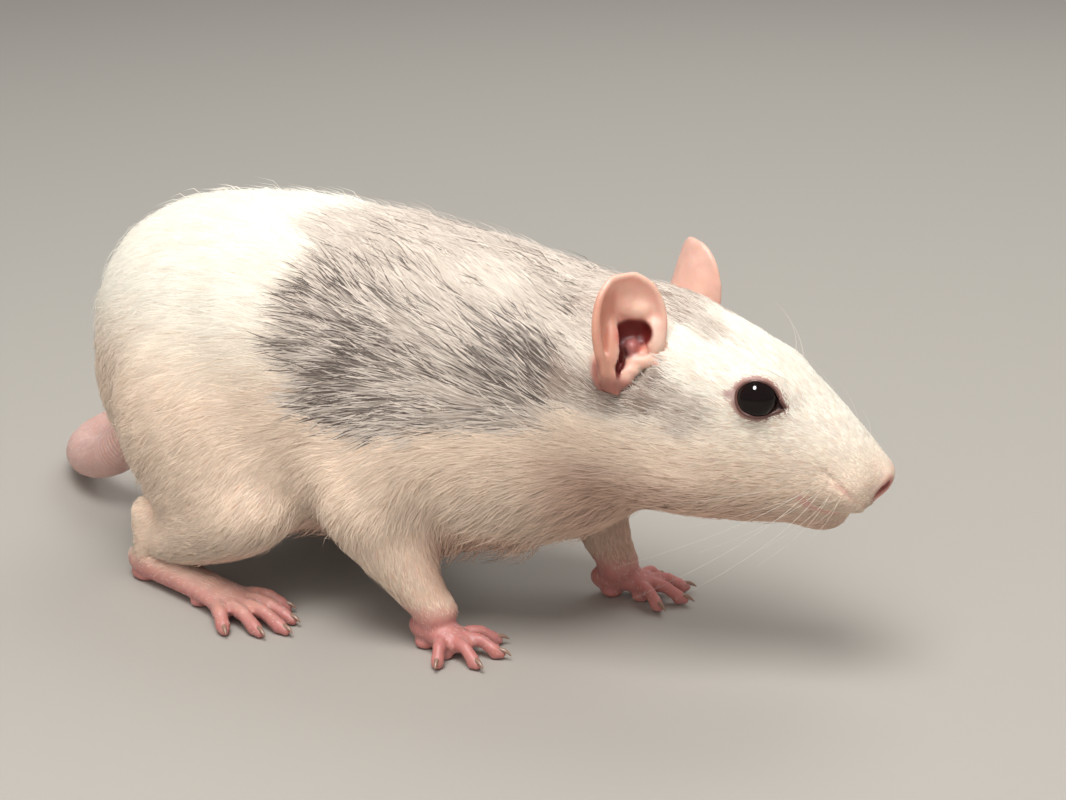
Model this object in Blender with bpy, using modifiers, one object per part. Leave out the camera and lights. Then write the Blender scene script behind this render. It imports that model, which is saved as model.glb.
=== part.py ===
# A life-size pet rat that crouches on four feet with its head stretched forward and a little down.
# Lengths are in metres. +X is the way the body faces, +Y its left side and +Z up. The floor is z = 0.
# The solids reach out to the tips of the short coat. They are parted by thin cuts, node by node.

import math

import bmesh
import bpy
import numpy as np
from mathutils import Euler, Matrix, Vector

MM = 0.001
# Every size below is in millimetres, and every angle in degrees.
GAP = 0.3  # left between two nodes that meet

# The head's own frame: its origin lies midway between the roots of the ears, +X runs to the nose.
HEAD_PLACE = (24.6, 1.7, 47.5)
HEAD_TURN = 18.0  # to the rat's left
HEAD_DIP = 12.5  # nose down

SECTION_FULLNESS = 2.2  # exponent of the body's oval sections, where 2 is an ellipse
SECTION_SIDES = 28
TRUNK_WIDEST = 0.44  # how far up a section of the trunk it is widest

# Trunk, rump to nape, as upright sections: x, y, top, bottom, half width
TRUNK = (
    (-81.5, 0.0, 39.0, 28.5, 3.5),
    (-80.0, 0.0, 48.0, 21.5, 10.2),
    (-76.6, 0.0, 54.4, 17.0, 15.0),
    (-70.5, 0.0, 59.0, 13.8, 19.2),
    (-61.0, 0.0, 62.0, 11.6, 23.0),
    (-46.0, 0.0, 63.4, 10.3, 25.2),
    (-30.0, 0.0, 63.2, 10.2, 25.2),
    (-14.0, 0.0, 62.6, 11.4, 23.2),
    (-2.0, 0.0, 61.8, 13.4, 20.8),
    (9.0, 0.4, 60.6, 16.0, 18.4),
    (19.0, 1.4, 59.2, 21.0, 16.0),
    (27.0, 2.6, 56.0, 26.5, 12.0),
)
# Head, nape to nose, in the head's frame: x, top, bottom, half width, height where it is widest
HEAD = (
    (-12.0, 9.0, -22.6, 13.6, -6.0),
    (-5.0, 11.2, -22.4, 14.6, -6.0),
    (3.0, 11.6, -21.8, 14.4, -6.2),
    (9.0, 10.7, -21.3, 13.4, -6.6),
    (15.0, 9.3, -20.6, 11.9, -7.0),
    (21.0, 7.2, -19.2, 10.1, -7.2),
    (27.0, 3.9, -17.4, 8.4, -7.4),
    (32.0, 0.4, -15.0, 7.0, -7.6),
    (36.0, -2.5, -12.2, 5.2, -7.6),
    (38.2, -4.2, -10.4, 3.4, -7.2),
    (39.2, -5.4, -8.8, 1.8, -7.0),
)

# Rounded forms that fill out the head: centre, radii and pitch. One off the middle is on both sides.
HEAD_FORMS = {
    "nose": ((37.5, 0.0, -6.4), (2.4, 2.8, 2.5), 0.0),
    "chin": ((27.6, 0.0, -13.8), (7.6, 4.6, 3.9), 12.0),
    "whisker_pad": ((32.3, 3.8, -8.6), (5.6, 3.9, 4.2), 0.0),
    "cheek": ((9.0, 6.2, -10.5), (11.5, 7.4, 9.0), 0.0),
    "brow": ((17.0, 6.2, 2.4), (7.6, 3.5, 4.5), 0.0),
}
# What is cut into the head: a nostril as centre, radii, pitch and turn, then the closed mouth and the cleft
# of the upper lip as lines
NOSTRIL = ((39.0, 1.9, -7.6), (1.4, 0.8, 1.0), 25.0, 28.0)
MOUTH_LINE = ((38.6, 0.0, -11.3), (37.2, 2.4, -11.9), (35.0, 4.2, -12.6), (32.4, 5.8, -12.8),
              (30.0, 7.2, -12.0), (28.6, 8.2, -10.8))
MOUTH_DEPTH = 0.5
CLEFT_LINE = ((40.6, 0.0, -7.4), (39.4, 0.0, -9.4), (38.2, 0.0, -11.6))
CLEFT_DEPTH = 0.4

# Where the body is parted: a point of each plane and the way it faces, the head's in the head's frame
HEAD_CUT = (-7.5, 0.0, -4.0)
HEAD_SLOPE = (-1.0, 0.0, -0.3)
NECK_CUT = (6.5, 0.0, 40.0)
NECK_SLOPE = (1.0, 0.06, 0.18)

# How the fused body is meshed: voxel, smoothing steps and share of the triangles that stays
TORSO_MESH = (1.7, 4, 0.13)
HEAD_MESH = (0.9, 9, 0.06)

# Eyes, in the head's frame
EYE_RADIUS = 3.25
EYE_PLACE = (18.0, 8.0, 2.1)
EYE_AIM = (0.22, 0.95, 0.24)
LID_REACH = 1.75  # how far out from the eye's centre the rim of the lids lies
LID_RING = 2.95
LID_LONG, LID_HIGH = 1.16, 0.92  # the rim's oval, in rings
LID_SLANT = 0.18  # how far its front corner lies lower
LID_SINK = 0.5  # how much deeper its corners lie
LID_THICKNESS = 0.62

# Ears, in the head's frame
EAR_ROOT = {"right": (-0.8, 11.4, -1.0), "left": (1.6, 11.2, -1.0)}
EAR_AXIS = {"right": (-0.09, 0.2, 0.98), "left": (0.06, 0.17, 0.98)}
EAR_OPENING = (0.74, 0.67, -0.05)
EAR_LENGTH = 17.0
EAR_SPREAD = 7.8  # from the spine of the ear round to its edge, at its widest
EAR_FOLD, EAR_UNFOLD = 150.0, 110.0  # half of the arc that it bends through at its root, and less at its tip
EAR_SHOULDER = 0.3  # share of the length from which the tip is rounded
EAR_SPINE = 3.2  # how far the spine lies behind the axis
EAR_WALL = 0.9
EAR_CANAL = ((0.9, 1.9, 4.4), (2.5, 2.9, 3.8))  # the hollow at its root, from EAR_ROOT, and its radii

# Tail: it leaves the rump, comes down to the floor and bends round to the rat's left.
TAIL_LENGTH = 158.0
TAIL_ROOT = (-74.0, 0.0, 22.5)
TAIL_ROOT_RADIUS = 4.9
TAIL_TIP_RADIUS = 0.9
TAIL_FLAT = 0.25  # how deep the floor cuts into its underside
TAIL_STEEPEST = 0.66
TAIL_STRAIGHT = 12  # length behind the rump before it bends
TAIL_BEND, TAIL_UNBEND = 0.030, 0.013  # bend in radians for each millimetre, and how much less at the tip
TAIL_NAMES = ("tail_root", "tail_middle", "tail_lower", "tail_tip")

SIDES = {"right": -1, "left": 1}
# Forelegs: shoulder, elbow and wrist of each side, and how far the foot points to the left
FORELEGS = {
    "right": {"shoulder": (-5.0, -13.0, 37.0), "elbow": (-15.0, -19.5, 24.0),
              "wrist": (-3.8, -16.2, 7.2), "heading": -4.0},
    "left": {"shoulder": (1.0, 13.0, 37.0), "elbow": (0.0, 18.5, 23.5),
             "wrist": (8.4, 18.0, 7.0), "heading": 26.0},
}
# Hind legs: hip, knee and heel of each side, and the way the foot points
HINDLEGS = {
    "right": {"hip": (-55.0, -12.0, 36.0), "knee": (-31.0, -23.5, 21.0),
              "heel": (-58.0, -21.5, 5.6), "heading": -8.0},
    "left": {"hip": (-53.0, 12.0, 36.0), "knee": (-29.0, 23.5, 21.0),
             "heel": (-55.0, 22.0, 5.6), "heading": 10.0},
}
# Masses of the legs as radii, and their tubes as stations: share of the way down, half width, half height
UPPER_ARM = (10.0, 8.2, 15.5)
ELBOW = (8.2, 7.2, 8.2)
FOREARM = ((-0.1, 5.0, 5.6), (0.1, 6.8, 7.8), (0.35, 6.0, 6.9), (0.62, 5.0, 5.6), (0.86, 4.1, 4.3),
           (1.2, 3.6, 3.6))
THIGH = (21.0, 11.0, 18.5)
SHANK = ((-0.12, 4.0, 4.5), (0.1, 6.4, 7.6), (0.4, 6.0, 7.2), (0.7, 4.6, 5.2), (0.94, 3.5, 3.7),
         (1.0, 2.4, 2.4))
# Closed shapes that part the legs from the trunk: radii, how far out they lie and, of the shank's, its pitch
ARM_REGION = ((11.0, 9.0, 15.0), 6.5)
FOREARM_REGION = ((9.0, 8.5, 19.0), 1.5)
THIGH_REGION = ((23.0, 15.0, 19.0), 9.0)
SHANK_REGION = ((22.0, 12.0, 11.0), 4.0, -28.0)

# Toes, inner to outer: angle outwards, length, and where on the knuckle row, from -1 inner to 1 outer
FORE_TOES = ((-50.0, 5.6, -0.95), (-16.0, 6.8, -0.4), (16.0, 6.4, 0.3), (58.0, 4.2, 1.0))
HIND_TOES = ((-24.0, 6.4, -1.0), (-8.0, 9.4, -0.55), (1.0, 10.2, 0.0), (10.0, 9.4, 0.55), (30.0, 6.6, 1.0))
# A toe's arch: share of its length, height in rises, thickness in radii
TOE = ((-0.3, 0.0, 1.05), (0.15, 0.5, 1.0), (0.5, 0.35, 0.95), (0.82, -0.55, 0.95), (1.0, -0.9, 0.6))
# Its claw, from within the toe's tip: distance ahead, height, half thickness
CLAW_ROOT = (0.86, -0.35)
CLAW = ((0.0, 0.0, 0.5), (1.4, 0.05, 0.42), (2.6, -0.7, 0.12))

# Soles: path from behind the ankle to the knuckles as x, z, half width, half height, then the rest of each
# foot's sizes, and its pads as x, y and radii
FORE_SOLE = {
    "path": ((-2.2, 2.8, 1.6, 1.5), (-0.8, 3.4, 2.6, 2.6), (1.6, 3.3, 3.0, 2.3), (4.6, 2.6, 3.5, 1.8),
             (6.6, 2.2, 3.1, 1.4), (7.6, 2.0, 2.2, 0.9)),
    "ankle": 3.5, "sink": 2.2, "length": 6.0, "swept": 1.5, "half_width": 2.7, "toe_height": 2.1, "arch": 1.3,
    "toe_radius": 1.1,
    "pads": ((-0.4, 0.0, (2.0, 2.6, 1.2)), (4.6, -2.1, (1.6, 1.4, 1.1)), (4.6, 2.1, (1.6, 1.4, 1.1))),
}
HIND_SOLE = {
    "path": ((-4.2, 3.0, 1.8, 1.6), (-2.6, 3.4, 3.0, 2.9), (1.0, 3.3, 3.2, 3.0), (8.0, 2.9, 3.3, 2.5),
             (15.0, 2.6, 3.8, 2.2), (20.5, 2.3, 4.5, 1.9), (24.0, 2.1, 4.0, 1.4), (25.4, 1.9, 2.8, 0.9)),
    "ankle": 3.1, "sink": 2.6, "length": 23.4, "swept": 2.6, "half_width": 3.6, "toe_height": 2.0,
    "arch": 1.2, "toe_radius": 1.25,
    "pads": ((-2.0, 0.0, (3.0, 2.4, 1.4)), (14.0, 0.0, (2.0, 3.4, 1.2)), (20.8, -2.7, (1.8, 1.6, 1.2)),
             (20.8, 2.7, (1.8, 1.6, 1.2))),
}

# Base colour and roughness of each finish, and the nodes that each one covers
FINISHES = {
    "cream_coat": ((0.82, 0.76, 0.67), 0.8, ("head", "hindleg", "foreleg")),
    "hood_coat": ((0.56, 0.52, 0.49), 0.8, ("torso", "neck")),
    "pink_skin": ((0.78, 0.50, 0.44), 0.5, ("ear", "forefoot", "hindfoot", "tail")),
    "dark_eye": ((0.02, 0.012, 0.012), 0.06, ("eye",)),
}


def clear_scene():
    for old in list(bpy.data.objects):
        bpy.data.objects.remove(old, do_unlink=True)


def make_collection(name):
    collection = bpy.data.collections.new(name)
    bpy.context.scene.collection.children.link(collection)
    return collection


def make_material(name, colour, roughness):
    material = bpy.data.materials.new(name)
    material.use_nodes = True
    shader = material.node_tree.nodes["Principled BSDF"]
    shader.inputs["Base Color"].default_value = (*colour, 1.0)
    shader.inputs["Roughness"].default_value = roughness
    material.diffuse_color = (*colour, 1.0)
    return material


def head_frame():
    turn = Euler((0.0, math.radians(HEAD_DIP), math.radians(HEAD_TURN)), "XYZ").to_matrix().to_4x4()
    return Matrix.Translation(Vector(HEAD_PLACE) * MM) @ turn


def mirrored(place, out):
    """A place given for the left side, on the side that out names."""
    return Vector((place[0], place[1] * out, place[2]))


def smooth_rows(rows, per_span):
    """Rows of numbers, read from a Catmull-Rom curve through them."""
    rows = np.array(rows, float)
    padded = np.vstack([2 * rows[0] - rows[1], rows, 2 * rows[-1] - rows[-2]])
    out = []
    for i in range(1, len(padded) - 2):
        before, start, end, after = padded[i - 1 : i + 3]
        for step in range(per_span):
            t = step / per_span
            out.append(
                0.5 * (2 * start + (end - before) * t + (2 * before - 5 * start + 4 * end - after) * t**2
                       + (3 * start - before - 3 * end + after) * t**3)
            )
    out.append(rows[-1])
    return np.array(out)


def new_object(name, mesh, collection, matrix=None):
    obj = bpy.data.objects.new(name, mesh)
    if matrix is not None:
        mesh.transform(matrix)
    collection.objects.link(obj)
    return obj


def loft(name, rings, collection, matrix=None):
    """A closed tube through rings of points, with a fan of faces over each end."""
    bm = bmesh.new()
    rows = [[bm.verts.new(point) for point in ring] for ring in rings]
    sides = len(rows[0])
    for row, after in zip(rows, rows[1:]):
        for i in range(sides):
            j = (i + 1) % sides
            bm.faces.new((row[i], row[j], after[j], after[i]))
    for row, turned in ((rows[0], True), (rows[-1], False)):
        middle = bm.verts.new(sum((v.co for v in row), Vector()) / sides)
        for i in range(sides):
            j = (i + 1) % sides
            corners = (row[j], row[i], middle) if turned else (row[i], row[j], middle)
            bm.faces.new(corners)
    bmesh.ops.recalc_face_normals(bm, faces=bm.faces)
    mesh = bpy.data.meshes.new(name)
    bm.to_mesh(mesh)
    bm.free()
    return new_object(name, mesh, collection, matrix)


def upright_ring(x, y, top, bottom, half_width, widest):
    """A section of the body in a plane of constant x: an oval, fuller than an ellipse."""
    points = []
    for i in range(SECTION_SIDES):
        angle = 2 * math.pi * i / SECTION_SIDES
        across, up = math.cos(angle), math.sin(angle)
        reach = top - widest if up > 0 else widest - bottom
        across = math.copysign(abs(across) ** (2 / SECTION_FULLNESS), across)
        up = math.copysign(abs(up) ** (2 / SECTION_FULLNESS), up)
        points.append(Vector((x, y + half_width * across, widest + reach * up)) * MM)
    return points


def ring_about(centre, along, half_width, half_height, sides):
    """An oval of points about a centre, square to a direction and level from side to side."""
    side = Vector((0, 0, 1)).cross(along).normalized()
    up = along.cross(side)
    angles = [2 * math.pi * (k + 0.5) / sides for k in range(sides)]
    return [(centre + side * math.cos(a) * half_width + up * math.sin(a) * half_height) * MM for a in angles]


def tube(name, stations, sides, collection, matrix=None):
    """A loft along stations of x, y, z, half width and half height, square to its path."""
    stations = np.array(stations, float)
    rings = []
    for i, station in enumerate(stations):
        before, after = stations[max(i - 1, 0)], stations[min(i + 1, len(stations) - 1)]
        along = Vector(after[:3] - before[:3]).normalized()
        rings.append(ring_about(Vector(station[:3]), along, station[3], station[4], sides))
    return loft(name, rings, collection, matrix)


def ellipsoid(name, centre, radii, collection, turn=(0, 0, 0), matrix=None, segments=24, rings=14):
    """An oval ball, turned by three angles."""
    mesh = bpy.data.meshes.new(name)
    bm = bmesh.new()
    bmesh.ops.create_uvsphere(bm, u_segments=segments, v_segments=rings, radius=1.0)
    bm.to_mesh(mesh)
    bm.free()
    turned = Euler([math.radians(a) for a in turn]).to_matrix().to_4x4()
    scaled = Matrix.Diagonal((*(Vector(radii) * MM), 1.0))
    place = Matrix.Translation(Vector(centre) * MM) @ turned @ scaled
    return new_object(name, mesh, collection, (matrix or Matrix()) @ place)


def block(name, centre, sizes, collection, turn=None, matrix=None):
    """A box, turned by a rotation matrix."""
    mesh = bpy.data.meshes.new(name)
    bm = bmesh.new()
    bmesh.ops.create_cube(bm, size=1.0)
    bm.to_mesh(mesh)
    bm.free()
    scaled = Matrix.Diagonal((*(Vector(sizes) * MM), 1.0))
    place = Matrix.Translation(Vector(centre) * MM) @ (turn or Matrix()) @ scaled
    return new_object(name, mesh, collection, (matrix or Matrix()) @ place)


def groove(name, points, radius, collection, matrix=None):
    """A tube along points, made a mesh with its caps welded, for use as a cutter."""
    curve = bpy.data.curves.new(name, "CURVE")
    curve.dimensions = "3D"
    curve.bevel_depth = radius * MM
    curve.bevel_resolution = 2
    curve.use_fill_caps = True
    spline = curve.splines.new("POLY")
    spline.points.add(len(points) - 1)
    for spot, point in zip(spline.points, points):
        spot.co = (*(Vector(point) * MM), 1.0)
    guide = bpy.data.objects.new(name, curve)
    collection.objects.link(guide)
    mesh = bpy.data.meshes.new_from_object(guide.evaluated_get(bpy.context.evaluated_depsgraph_get()))
    bpy.data.objects.remove(guide)
    bm = bmesh.new()
    bm.from_mesh(mesh)
    bmesh.ops.remove_doubles(bm, verts=bm.verts, dist=1e-7)
    bmesh.ops.recalc_face_normals(bm, faces=bm.faces)
    bm.to_mesh(mesh)
    bm.free()
    return new_object(name, mesh, collection, matrix)


def settle(obj):
    """Applies the object's modifiers and keeps its largest closed surface."""
    mesh = bpy.data.meshes.new_from_object(obj.evaluated_get(bpy.context.evaluated_depsgraph_get()))
    obj.modifiers.clear()
    old, obj.data = obj.data, mesh
    bpy.data.meshes.remove(old)
    bm = bmesh.new()
    bm.from_mesh(mesh)
    bm.verts.ensure_lookup_table()
    seen, groups = set(), []
    for first in bm.verts:
        if first.index in seen:
            continue
        seen.add(first.index)
        group, front = [], [first]
        while front:
            vert = front.pop()
            group.append(vert)
            for edge in vert.link_edges:
                other = edge.other_vert(vert)
                if other.index not in seen:
                    seen.add(other.index)
                    front.append(other)
        groups.append(group)
    groups.sort(key=len)
    loose = [vert for group in groups[:-1] for vert in group]
    bmesh.ops.delete(bm, geom=loose, context="VERTS")
    bm.to_mesh(mesh)
    bm.free()
    return obj


def combine(obj, others, operation):
    """One Boolean with a collection of closed meshes, applied, and the collection's objects removed."""
    helpers = bpy.data.collections.new("boolean_helpers")
    bpy.context.scene.collection.children.link(helpers)
    for other in others:
        helpers.objects.link(other)
    modifier = obj.modifiers.new(operation.lower(), "BOOLEAN")
    modifier.operation = operation
    modifier.operand_type = "COLLECTION"
    modifier.collection = helpers
    modifier.solver = "MANIFOLD"
    settle(obj)
    for other in others:
        bpy.data.objects.remove(other, do_unlink=True)
    bpy.data.collections.remove(helpers)
    return obj


def copy_of(obj, name, collection):
    return new_object(name, obj.data.copy(), collection)


def reskin(obj, voxel, smoothing, keep):
    """Fuses the coarse forms into one even surface, softens it and thins its triangles."""
    remesh = obj.modifiers.new("even", "REMESH")
    remesh.mode = "VOXEL"
    remesh.voxel_size = voxel * MM
    soften = obj.modifiers.new("soften", "SMOOTH")
    soften.factor = 0.5
    soften.iterations = smoothing
    thin = obj.modifiers.new("thin", "DECIMATE")
    thin.ratio = keep
    thin.use_collapse_triangulate = True
    return settle(obj)


# The body's outline

def trunk_form(helpers):
    rings = []
    for x, y, top, bottom, half_width in smooth_rows(TRUNK, 3):
        widest = bottom + TRUNK_WIDEST * (top - bottom)
        rings.append(upright_ring(x, y, top, bottom, half_width, widest))
    return loft("trunk_form", rings, helpers)


def head_form(helpers, frame):
    rings = []
    for x, top, bottom, half_width, widest in smooth_rows(HEAD, 3):
        rings.append(upright_ring(x, 0.0, top, bottom, half_width, widest))
    pieces = [loft("head_form", rings, helpers, frame)]
    for name, (centre, radii, pitch) in HEAD_FORMS.items():
        for out in SIDES.values() if centre[1] else (1,):
            spot = mirrored(centre, out)
            pieces.append(ellipsoid(name, spot, radii, helpers, turn=(0, pitch, 0), matrix=frame))
    return pieces


def hindleg_forms(side, helpers):
    """The thigh as a full oval mass, and the shank that folds back under it."""
    leg = HINDLEGS[side]
    hip, knee, heel = (Vector(leg[k]) for k in ("hip", "knee", "heel"))
    middle = hip.lerp(knee, 0.5) + Vector((-3.0, SIDES[side] * 1.0, 0.0))
    lean = math.degrees(math.atan2(hip.z - knee.z, knee.x - hip.x))
    thigh = ellipsoid("thigh", middle, THIGH, helpers, turn=(0, lean, 0))
    path = [(*knee.lerp(heel, share), width, height) for share, width, height in SHANK]
    shank = tube("shank", smooth_rows(path, 2), 16, helpers)
    return [thigh, shank]


def foreleg_forms(side, helpers):
    """Upper arm, elbow and forearm. The forearm runs on past the wrist, where it is cut."""
    leg = FORELEGS[side]
    shoulder, elbow, wrist = (Vector(leg[k]) for k in ("shoulder", "elbow", "wrist"))
    upper = shoulder - elbow
    lean = math.degrees(math.atan2(upper.x, upper.z))
    arm = ellipsoid("upper_arm", shoulder.lerp(elbow, 0.5), UPPER_ARM, helpers, turn=(0, lean, 0))
    bend = ellipsoid("elbow", elbow + Vector((2.0, 0.0, 0.5)), ELBOW, helpers)
    path = [(*elbow.lerp(wrist, share), width, height) for share, width, height in FOREARM]
    return [arm, bend, tube("forearm", smooth_rows(path, 2), 16, helpers)]


def body_form(name, meshing, helpers, frame):
    """The whole furred body as one closed surface."""
    trunk = trunk_form(helpers)
    pieces = head_form(helpers, frame)
    for side in SIDES:
        pieces += hindleg_forms(side, helpers) + foreleg_forms(side, helpers)
    combine(trunk, pieces, "UNION")
    trunk.name = name
    return reskin(trunk, *meshing)


# Where the body is parted

def facing(along):
    """A rotation that turns +X to the direction given."""
    return Vector(along).to_track_quat("X", "Z").to_matrix().to_4x4()


def plane_block(name, point, along, collection, size=120.0, offset=0.0, matrix=None):
    """Everything beyond a plane, as a large box whose near face lies offset past the point."""
    direction = Vector(along).normalized()
    centre = Vector(point) + direction * (size / 2 + offset)
    return block(name, centre, (size, size, size), collection, facing(direction), matrix)


def region(name, middle, sizes, grow, helpers, lean):
    return ellipsoid(name, middle, [radius + grow for radius in sizes], helpers, turn=(0, lean, 0))


def hindleg_region(side, helpers, grow):
    """The closed shape that holds one hind leg. Grown by the gap, it cuts the torso clear of it."""
    leg = HINDLEGS[side]
    hip, knee, heel = (Vector(leg[k]) for k in ("hip", "knee", "heel"))
    (thigh_radii, thigh_out), (shank_radii, shank_out, shank_lean) = THIGH_REGION, SHANK_REGION
    lean = math.degrees(math.atan2(hip.z - knee.z, knee.x - hip.x))
    middle = hip.lerp(knee, 0.5) + Vector((-3.0, SIDES[side] * thigh_out, -2.0))
    thigh = region("thigh_region", middle, thigh_radii, grow, helpers, lean)
    middle = knee.lerp(heel, 0.55) + Vector((-2.0, SIDES[side] * shank_out, -2.0))
    shank = region("shank_region", middle, shank_radii, grow, helpers, shank_lean)
    return combine(thigh, [shank], "UNION")


def foreleg_region(side, helpers, grow):
    """The closed shape that holds one foreleg, grown the same way."""
    leg = FORELEGS[side]
    shoulder, elbow, wrist = (Vector(leg[k]) for k in ("shoulder", "elbow", "wrist"))
    made = []
    for name, upper, lower, share, (radii, out) in (
        ("arm_region", shoulder, elbow, 0.55, ARM_REGION),
        ("forearm_region", elbow, wrist, 0.6, FOREARM_REGION),
    ):
        lean = math.degrees(math.atan2(upper.x - lower.x, upper.z - lower.z))
        middle = upper.lerp(lower, share) + Vector((0.0, SIDES[side] * out, 0.0))
        made.append(region(name, middle, radii, grow, helpers, lean))
    return combine(made[0], made[1:], "UNION")


# Feet

def digit(name, root, heading, length, radius, rise, helpers):
    """One toe: it leaves the knuckles, arches and comes down on its pad, with a small curved claw."""
    along = Vector((math.cos(heading), math.sin(heading), 0.0))
    up = Vector((0.0, 0.0, 1.0))
    path = [(*(root + along * length * share + up * rise * height), radius * width, radius * width)
            for share, height, width in TOE]
    tip = root + along * length * CLAW_ROOT[0] + up * rise * CLAW_ROOT[1]
    claw = [(*(tip + along * ahead + up * height), width, width) for ahead, height, width in CLAW]
    return [tube(name, path, 6, helpers), tube(name + "_claw", claw, 4, helpers)]


def foot(name, ankle, down, heading, sole, toes, side, nodes, helpers):
    """Sole and toes. The ankle end is flat and square to the leg, a gap beyond the leg's own end."""
    out = SIDES[side]
    turn = math.radians(heading)
    along = Vector((math.cos(turn), math.sin(turn), 0.0))
    across = Vector((-math.sin(turn), math.cos(turn), 0.0)) * out
    path = [(*(ankle + along * x + Vector((0, 0, z - ankle.z))), w, h) for x, z, w, h in sole["path"]]
    body = tube(name, path, 10, nodes)
    pieces = [tube("ankle", [(*(ankle - down * 4.0), sole["ankle"], sole["ankle"]),
                             (*(ankle + down * sole["sink"]), sole["ankle"], sole["ankle"])], 12, helpers)]
    for number, (angle, length, place) in enumerate(toes):
        root = Vector((ankle.x, ankle.y, sole["toe_height"])) + across * place * sole["half_width"]
        root += along * (sole["length"] - abs(place) * sole["swept"])
        swing = turn + math.radians(angle) * out
        pieces += digit(f"toe_{number}", root, swing, length, sole["toe_radius"], sole["arch"], helpers)
    for x, y, radii in sole["pads"]:
        spot = ankle + along * x + across * y
        pieces.append(ellipsoid("pad", (spot.x, spot.y, radii[2] * 0.75), radii, helpers,
                                turn=(0, 0, heading), segments=8, rings=4))
    combine(body, pieces, "UNION")
    floor = block("under_floor", (ankle.x, ankle.y, -20.0), (120, 120, 40.0), helpers)
    beyond = plane_block("above_ankle", ankle, -down, helpers, size=30.0)
    return combine(body, [floor, beyond], "DIFFERENCE")


def feet(nodes, helpers):
    made = {}
    for side in SIDES:
        fore = FORELEGS[side]
        wrist, elbow = Vector(fore["wrist"]), Vector(fore["elbow"])
        down = (wrist - elbow).normalized()
        made[f"forefoot_{side}"] = foot(f"forefoot_{side}", wrist + down * GAP, down, fore["heading"],
                                        FORE_SOLE, FORE_TOES, side, nodes, helpers)
        hind = HINDLEGS[side]
        made[f"hindfoot_{side}"] = foot(f"hindfoot_{side}", Vector(hind["heel"]), Vector((0, 0, -1)),
                                        hind["heading"], HIND_SOLE, HIND_TOES, side, nodes, helpers)
    return made


# Tail

def tail_radius(distance):
    share = distance / TAIL_LENGTH
    return TAIL_ROOT_RADIUS + (TAIL_TIP_RADIUS - TAIL_ROOT_RADIUS) * share**0.8


def tail_path():
    """Stations a millimetre apart. The tail drops to the floor, then bends left and comes forward."""
    x, y, z = TAIL_ROOT
    heading = math.pi
    rows = []
    for distance in range(int(TAIL_LENGTH) + 1):
        radius = tail_radius(distance)
        rows.append((x, y, z, radius, radius))
        rest = radius - TAIL_FLAT
        slope = min(TAIL_STEEPEST, (z - rest) * 0.07 + 0.03) if z > rest else 0.0
        if distance > TAIL_STRAIGHT:
            heading -= TAIL_BEND - TAIL_UNBEND * distance / TAIL_LENGTH
        x += math.cos(heading) * math.sqrt(1 - slope**2)
        y += math.sin(heading) * math.sqrt(1 - slope**2)
        z = max(z - slope, rest)
    return rows


def tail(nodes, helpers):
    """Four lengths of one tapering tail, each a gap short of the next, flat where they lie on the floor."""
    rows = np.array(tail_path())
    made = {}
    share = (len(rows) - 1) / len(TAIL_NAMES)
    for number, name in enumerate(TAIL_NAMES):
        first, last = round(number * share), round((number + 1) * share)
        rings = []
        for i in [*range(first, last - 2, 4), last]:
            along = Vector(rows[min(i + 1, len(rows) - 1)][:3] - rows[max(i - 1, 0)][:3]).normalized()
            centre = Vector(rows[i][:3]) - along * (GAP if i == last else 0.0)
            rings.append(ring_about(centre, along, rows[i][3], rows[i][4], 10))
        piece = loft(name, rings, nodes)
        floor = block("under_floor", (rows[first][0], rows[first][1], -20.0), (200, 200, 40.0), helpers)
        made[name] = combine(piece, [floor], "DIFFERENCE")
    return made


# Ears and eyes

def ear_sheet(side, helpers, frame):
    """The ear as a cupped sheet: nearly a closed tube at the root, open and rounded above."""
    out = SIDES[side]
    axis = mirrored(EAR_AXIS[side], out).normalized()
    opening = mirrored(EAR_OPENING, out)
    opening = (opening - axis * opening.dot(axis)).normalized()
    across = axis.cross(opening)
    root = mirrored(EAR_ROOT[side], out)
    bm = bmesh.new()
    rows = []
    steps, arcs = 9, 8
    for i in range(steps):
        t = 0.985 * math.sin(math.pi / 2 * i / (steps - 1))
        fold = math.radians(EAR_FOLD - EAR_UNFOLD * t**0.6)
        rounding = max(1 - (max(t - EAR_SHOULDER, 0) / (1 - EAR_SHOULDER)) ** 2.6, 0) ** 0.5
        edge = EAR_SPREAD * rounding
        bow = edge / fold
        row = []
        for k in range(arcs + 1):
            angle = fold * (2 * k / arcs - 1)
            cup = opening * (bow * (1 - math.cos(angle)) - EAR_SPINE) + across * bow * math.sin(angle)
            row.append(bm.verts.new((root + axis * EAR_LENGTH * t + cup) * MM))
        rows.append(row)
    for row, after in zip(rows, rows[1:]):
        for k in range(arcs):
            bm.faces.new((row[k], row[k + 1], after[k + 1], after[k]))
    mesh = bpy.data.meshes.new("ear")
    bm.to_mesh(mesh)
    bm.free()
    sheet = new_object(f"ear_{side}", mesh, helpers, frame)
    wall = sheet.modifiers.new("wall", "SOLIDIFY")
    wall.thickness = EAR_WALL * MM
    wall.offset = 0.0
    return sheet


def swollen(obj, name, helpers):
    """A copy of a closed mesh, moved out along its normals by the gap."""
    grown = copy_of(obj, name, helpers)
    grown.data.update()
    bm = bmesh.new()
    bm.from_mesh(grown.data)
    for vert, normal in [(v, v.normal.copy()) for v in bm.verts]:
        vert.co += normal * GAP * MM
    bm.to_mesh(grown.data)
    bm.free()
    return grown


def ears(head, nodes, helpers, frame):
    made = {}
    for side in SIDES:
        ear = ear_sheet(side, helpers, frame)
        settle(ear)
        helpers.objects.unlink(ear)
        nodes.objects.link(ear)
        made[ear.name] = combine(ear, [swollen(head, "head_clear", helpers)], "DIFFERENCE")
    return made


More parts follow.
